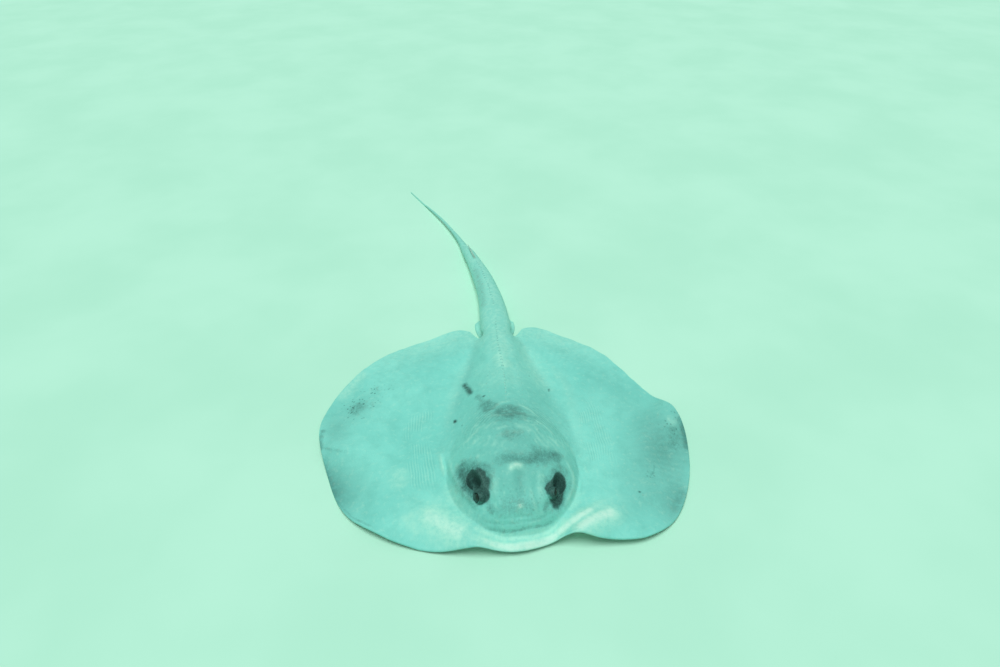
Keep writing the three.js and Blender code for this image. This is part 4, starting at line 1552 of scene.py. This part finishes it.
def thorns(body):
    """Small hooked thorns that grow out of the skin and lean towards the tail's tip."""
    tree = BVHTree.FromObject(body, bpy.context.evaluated_depsgraph_get())
    c, s = circle(THORN_AROUND)
    lift = np.linspace(0, 1, THORN_LEVELS)[:, None]
    flat = THORN_PATCH * np.stack([(1 - lift) * c, (1 - lift) * s], -1).reshape(-1, 2)
    flat = np.vstack([flat, [0, 0], [0, 0]])
    points, faces, patches = [], [], []
    for x, y, high in thorn_places():
        hit, normal, _, _ = tree.ray_cast(Vector((x, y, 400)) * MM, Vector((0, 0, -1)))
        rings = thorn_rings(np.array(hit) / MM, np.array(normal), high, lift, c, s)
        faces.append(len(points) * len(flat) + closed_rings(THORN_LEVELS, THORN_AROUND))
        points.append(np.vstack([rings.reshape(-1, 3), rings[0].mean(0), rings[-1].mean(0)]))
        patches.append(flat + bake_place(x, y))
    tips = np.append(np.repeat(lift, THORN_AROUND), [0, 1])
    made = new_mesh("thorns", np.vstack(points), np.vstack(faces))
    paint(made.data, "tip", np.tile(tips, len(points)))
    lay_out(made.data, np.vstack(patches)[read(made.data.loops, "vertex_index")])
    shade_smooth(made.data)
    made.data.materials.append(thorn_material())
    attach(made, "root")


thorns(skin)

# ---- Eyes ----

EYE_ROWS, EYE_AROUND = 40, 56
EYE_GAP = 0.2  # how much smaller the ball is made than the room for it
BULGE, BULGE_SPREAD = 0.5, 0.55
PUPIL_HALF_WIDTH, PUPIL_HALF_HEIGHT, PUPIL_DROP = 0.42, 0.26, 0.05
FLAP_HALF_WIDTH, FLAP_HALF_HEIGHT, FLAP_RISE = 0.22, 0.17, 0.16


def eyeball(side, mirror, material):
    """A ball turned so that its pole looks out, with a clear bulge over the iris."""
    tilt = ball_rows(EYE_ROWS)
    c, s = circle(EYE_AROUND)
    out = gaze(mirror)
    across = unit(np.cross(out, (0, 0, 1)))
    up = np.cross(across, out)
    radius = EYE_RADIUS - EYE_GAP + BULGE * np.exp(-((tilt / BULGE_SPREAD) ** 2))
    wide = (np.sin(tilt) * radius)[:, None]
    ahead = (np.cos(tilt) * radius)[:, None] + 0 * c
    points = (wide * c)[..., None] * across + (wide * s)[..., None] * up + ahead[..., None] * out
    points = np.vstack([points.reshape(-1, 3), out * radius[0], -out * radius[-1]]) + EYES[side]
    made = new_mesh(f"eyeball_{side}", points, closed_rings(EYE_ROWS - 1, EYE_AROUND))
    off = coords(made.data) - EYES[side]
    off /= np.linalg.norm(off, axis=1)[:, None]
    right, high = off @ across, off @ up
    # the iris by its angle from the pole, and a pupil that a flap covers from above
    paint(made.data, "iris", np.arccos(np.clip(off @ out, -1, 1)))
    oval = np.hypot(right / PUPIL_HALF_WIDTH, (high + PUPIL_DROP) / PUPIL_HALF_HEIGHT)
    flap = np.hypot(right / FLAP_HALF_WIDTH, (high - FLAP_RISE) / FLAP_HALF_HEIGHT)
    paint(made.data, "pupil", (1 - smoothstep(oval, 0.9, 1.1)) * smoothstep(flap, 0.9, 1.1))
    shade_smooth(made.data)
    made.data.materials.append(material)
    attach(made, "root")
    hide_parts(f"eye_{side}")


eye_look = eye_material()
for side, mirror in SIDES.items():
    eyeball(side, mirror, eye_look)

# ---- The sting ----

STING_STEPS, STING_AROUND, STING_BARBS = 120, 16, 15
STING_RISE = math.radians(3.6)


def sting():
    """A flat bony dagger with barbs down both edges and a groove along its middle."""
    t = np.linspace(0, 1, STING_STEPS)
    taper = np.clip(1.35 * (1 - t), 0, 1) ** 0.8
    tooth = (t * STING_BARBS) % 1
    barbed = smoothstep(t, 0.12, 0.3)
    half = STING_WIDTH / 2 * taper * (1 - 0.3 * barbed * (1 - tooth)) + 0.25
    thick = STING_THICK / 2 * (0.25 + 0.75 * np.sqrt(np.clip(1 - t, 0, 1)))
    c, s = circle(STING_AROUND)
    groove = 1 - 0.3 * np.exp(-((c / 0.22) ** 2))
    middle, along, across, _, half_height, _ = tail_at(STING_AT)
    base = middle[0] + (0, 0, half_height[0] - 0.4)
    way = along[0] * math.cos(STING_RISE) + np.array([0, 0, math.sin(STING_RISE)])
    up = np.cross(across[0], way)
    wide = (c * half[:, None])[..., None] * across[0]
    tall = up * (s * groove)[None, :, None] * thick[:, None, None]
    points = base + way * (t * (STING_LENGTH - 1))[:, None, None] + (wide + tall)
    ends = [base - way * 0.5, base + way * (STING_LENGTH - 0.5)]
    points = np.vstack([points.reshape(-1, 3), *ends])
    made = new_mesh("sting", points, closed_rings(STING_STEPS, STING_AROUND, with_travel=False))
    shade_smooth(made.data)
    made.data.materials.append(sting_material())
    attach(made, "root")
    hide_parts("tail_spine")


sting()

# ---- Floor, light and camera ----

CAMERA_AT = (-0.1049, -1.1955, 1.263)
CAMERA_TURN = math.radians(4.3)
CAMERA_DOWN = math.radians(38.4)
PHOTO_HALF_WIDTH, FOCAL_LENGTH = 500, 630  # in pixels of the photo
SUN_WAY = (0.08, 0.12, -1.3)
AIR_LIGHT, AIR_STRENGTH = (0.86, 0.97, 0.94, 1), 0.31
BACKDROP = (0.50, 0.87, 0.70, 1)


def look_along(thing, way):
    thing.rotation_euler = Vector(way).to_track_quat("-Z", "Y").to_euler()
    bpy.context.scene.collection.objects.link(thing)


bpy.ops.mesh.primitive_plane_add(size=40, location=(0, 4, 0))
floor = bpy.context.object
floor.name = "floor"
floor.data.materials.append(floor_material())

sun = bpy.data.objects.new("soft_sun", bpy.data.lights.new("soft_sun", "SUN"))
sun.data.energy = 2.2
sun.data.angle = math.radians(40)
sun.data.color = (0.97, 1.0, 0.99)
look_along(sun, SUN_WAY)

# The air's light is dimmer than the backdrop that the camera sees.
world = bpy.data.worlds.new("studio")
world.use_nodes = True
nodes, links = world.node_tree.nodes, world.node_tree.links
air, backdrop = nodes["Background"], nodes.new("ShaderNodeBackground")
air.inputs["Color"].default_value = AIR_LIGHT
air.inputs["Strength"].default_value = AIR_STRENGTH
backdrop.inputs["Color"].default_value = BACKDROP
seen, either = nodes.new("ShaderNodeLightPath"), nodes.new("ShaderNodeMixShader")
links.new(seen.outputs["Is Camera Ray"], either.inputs[0])
links.new(air.outputs[0], either.inputs[1])
links.new(backdrop.outputs[0], either.inputs[2])
links.new(either.outputs[0], nodes["World Output"].inputs[0])
bpy.context.scene.world = world
bpy.context.scene.view_settings.view_transform = "Standard"

camera = bpy.data.objects.new("camera", bpy.data.cameras.new("camera"))
camera.data.sensor_fit = "HORIZONTAL"
camera.data.angle = 2 * math.atan(PHOTO_HALF_WIDTH / FOCAL_LENGTH)
camera.location = CAMERA_AT
ahead = math.cos(CAMERA_DOWN)
look_along(camera, (
    math.sin(CAMERA_TURN) * ahead, math.cos(CAMERA_TURN) * ahead, -math.sin(CAMERA_DOWN),
))
bpy.context.scene.camera = camera
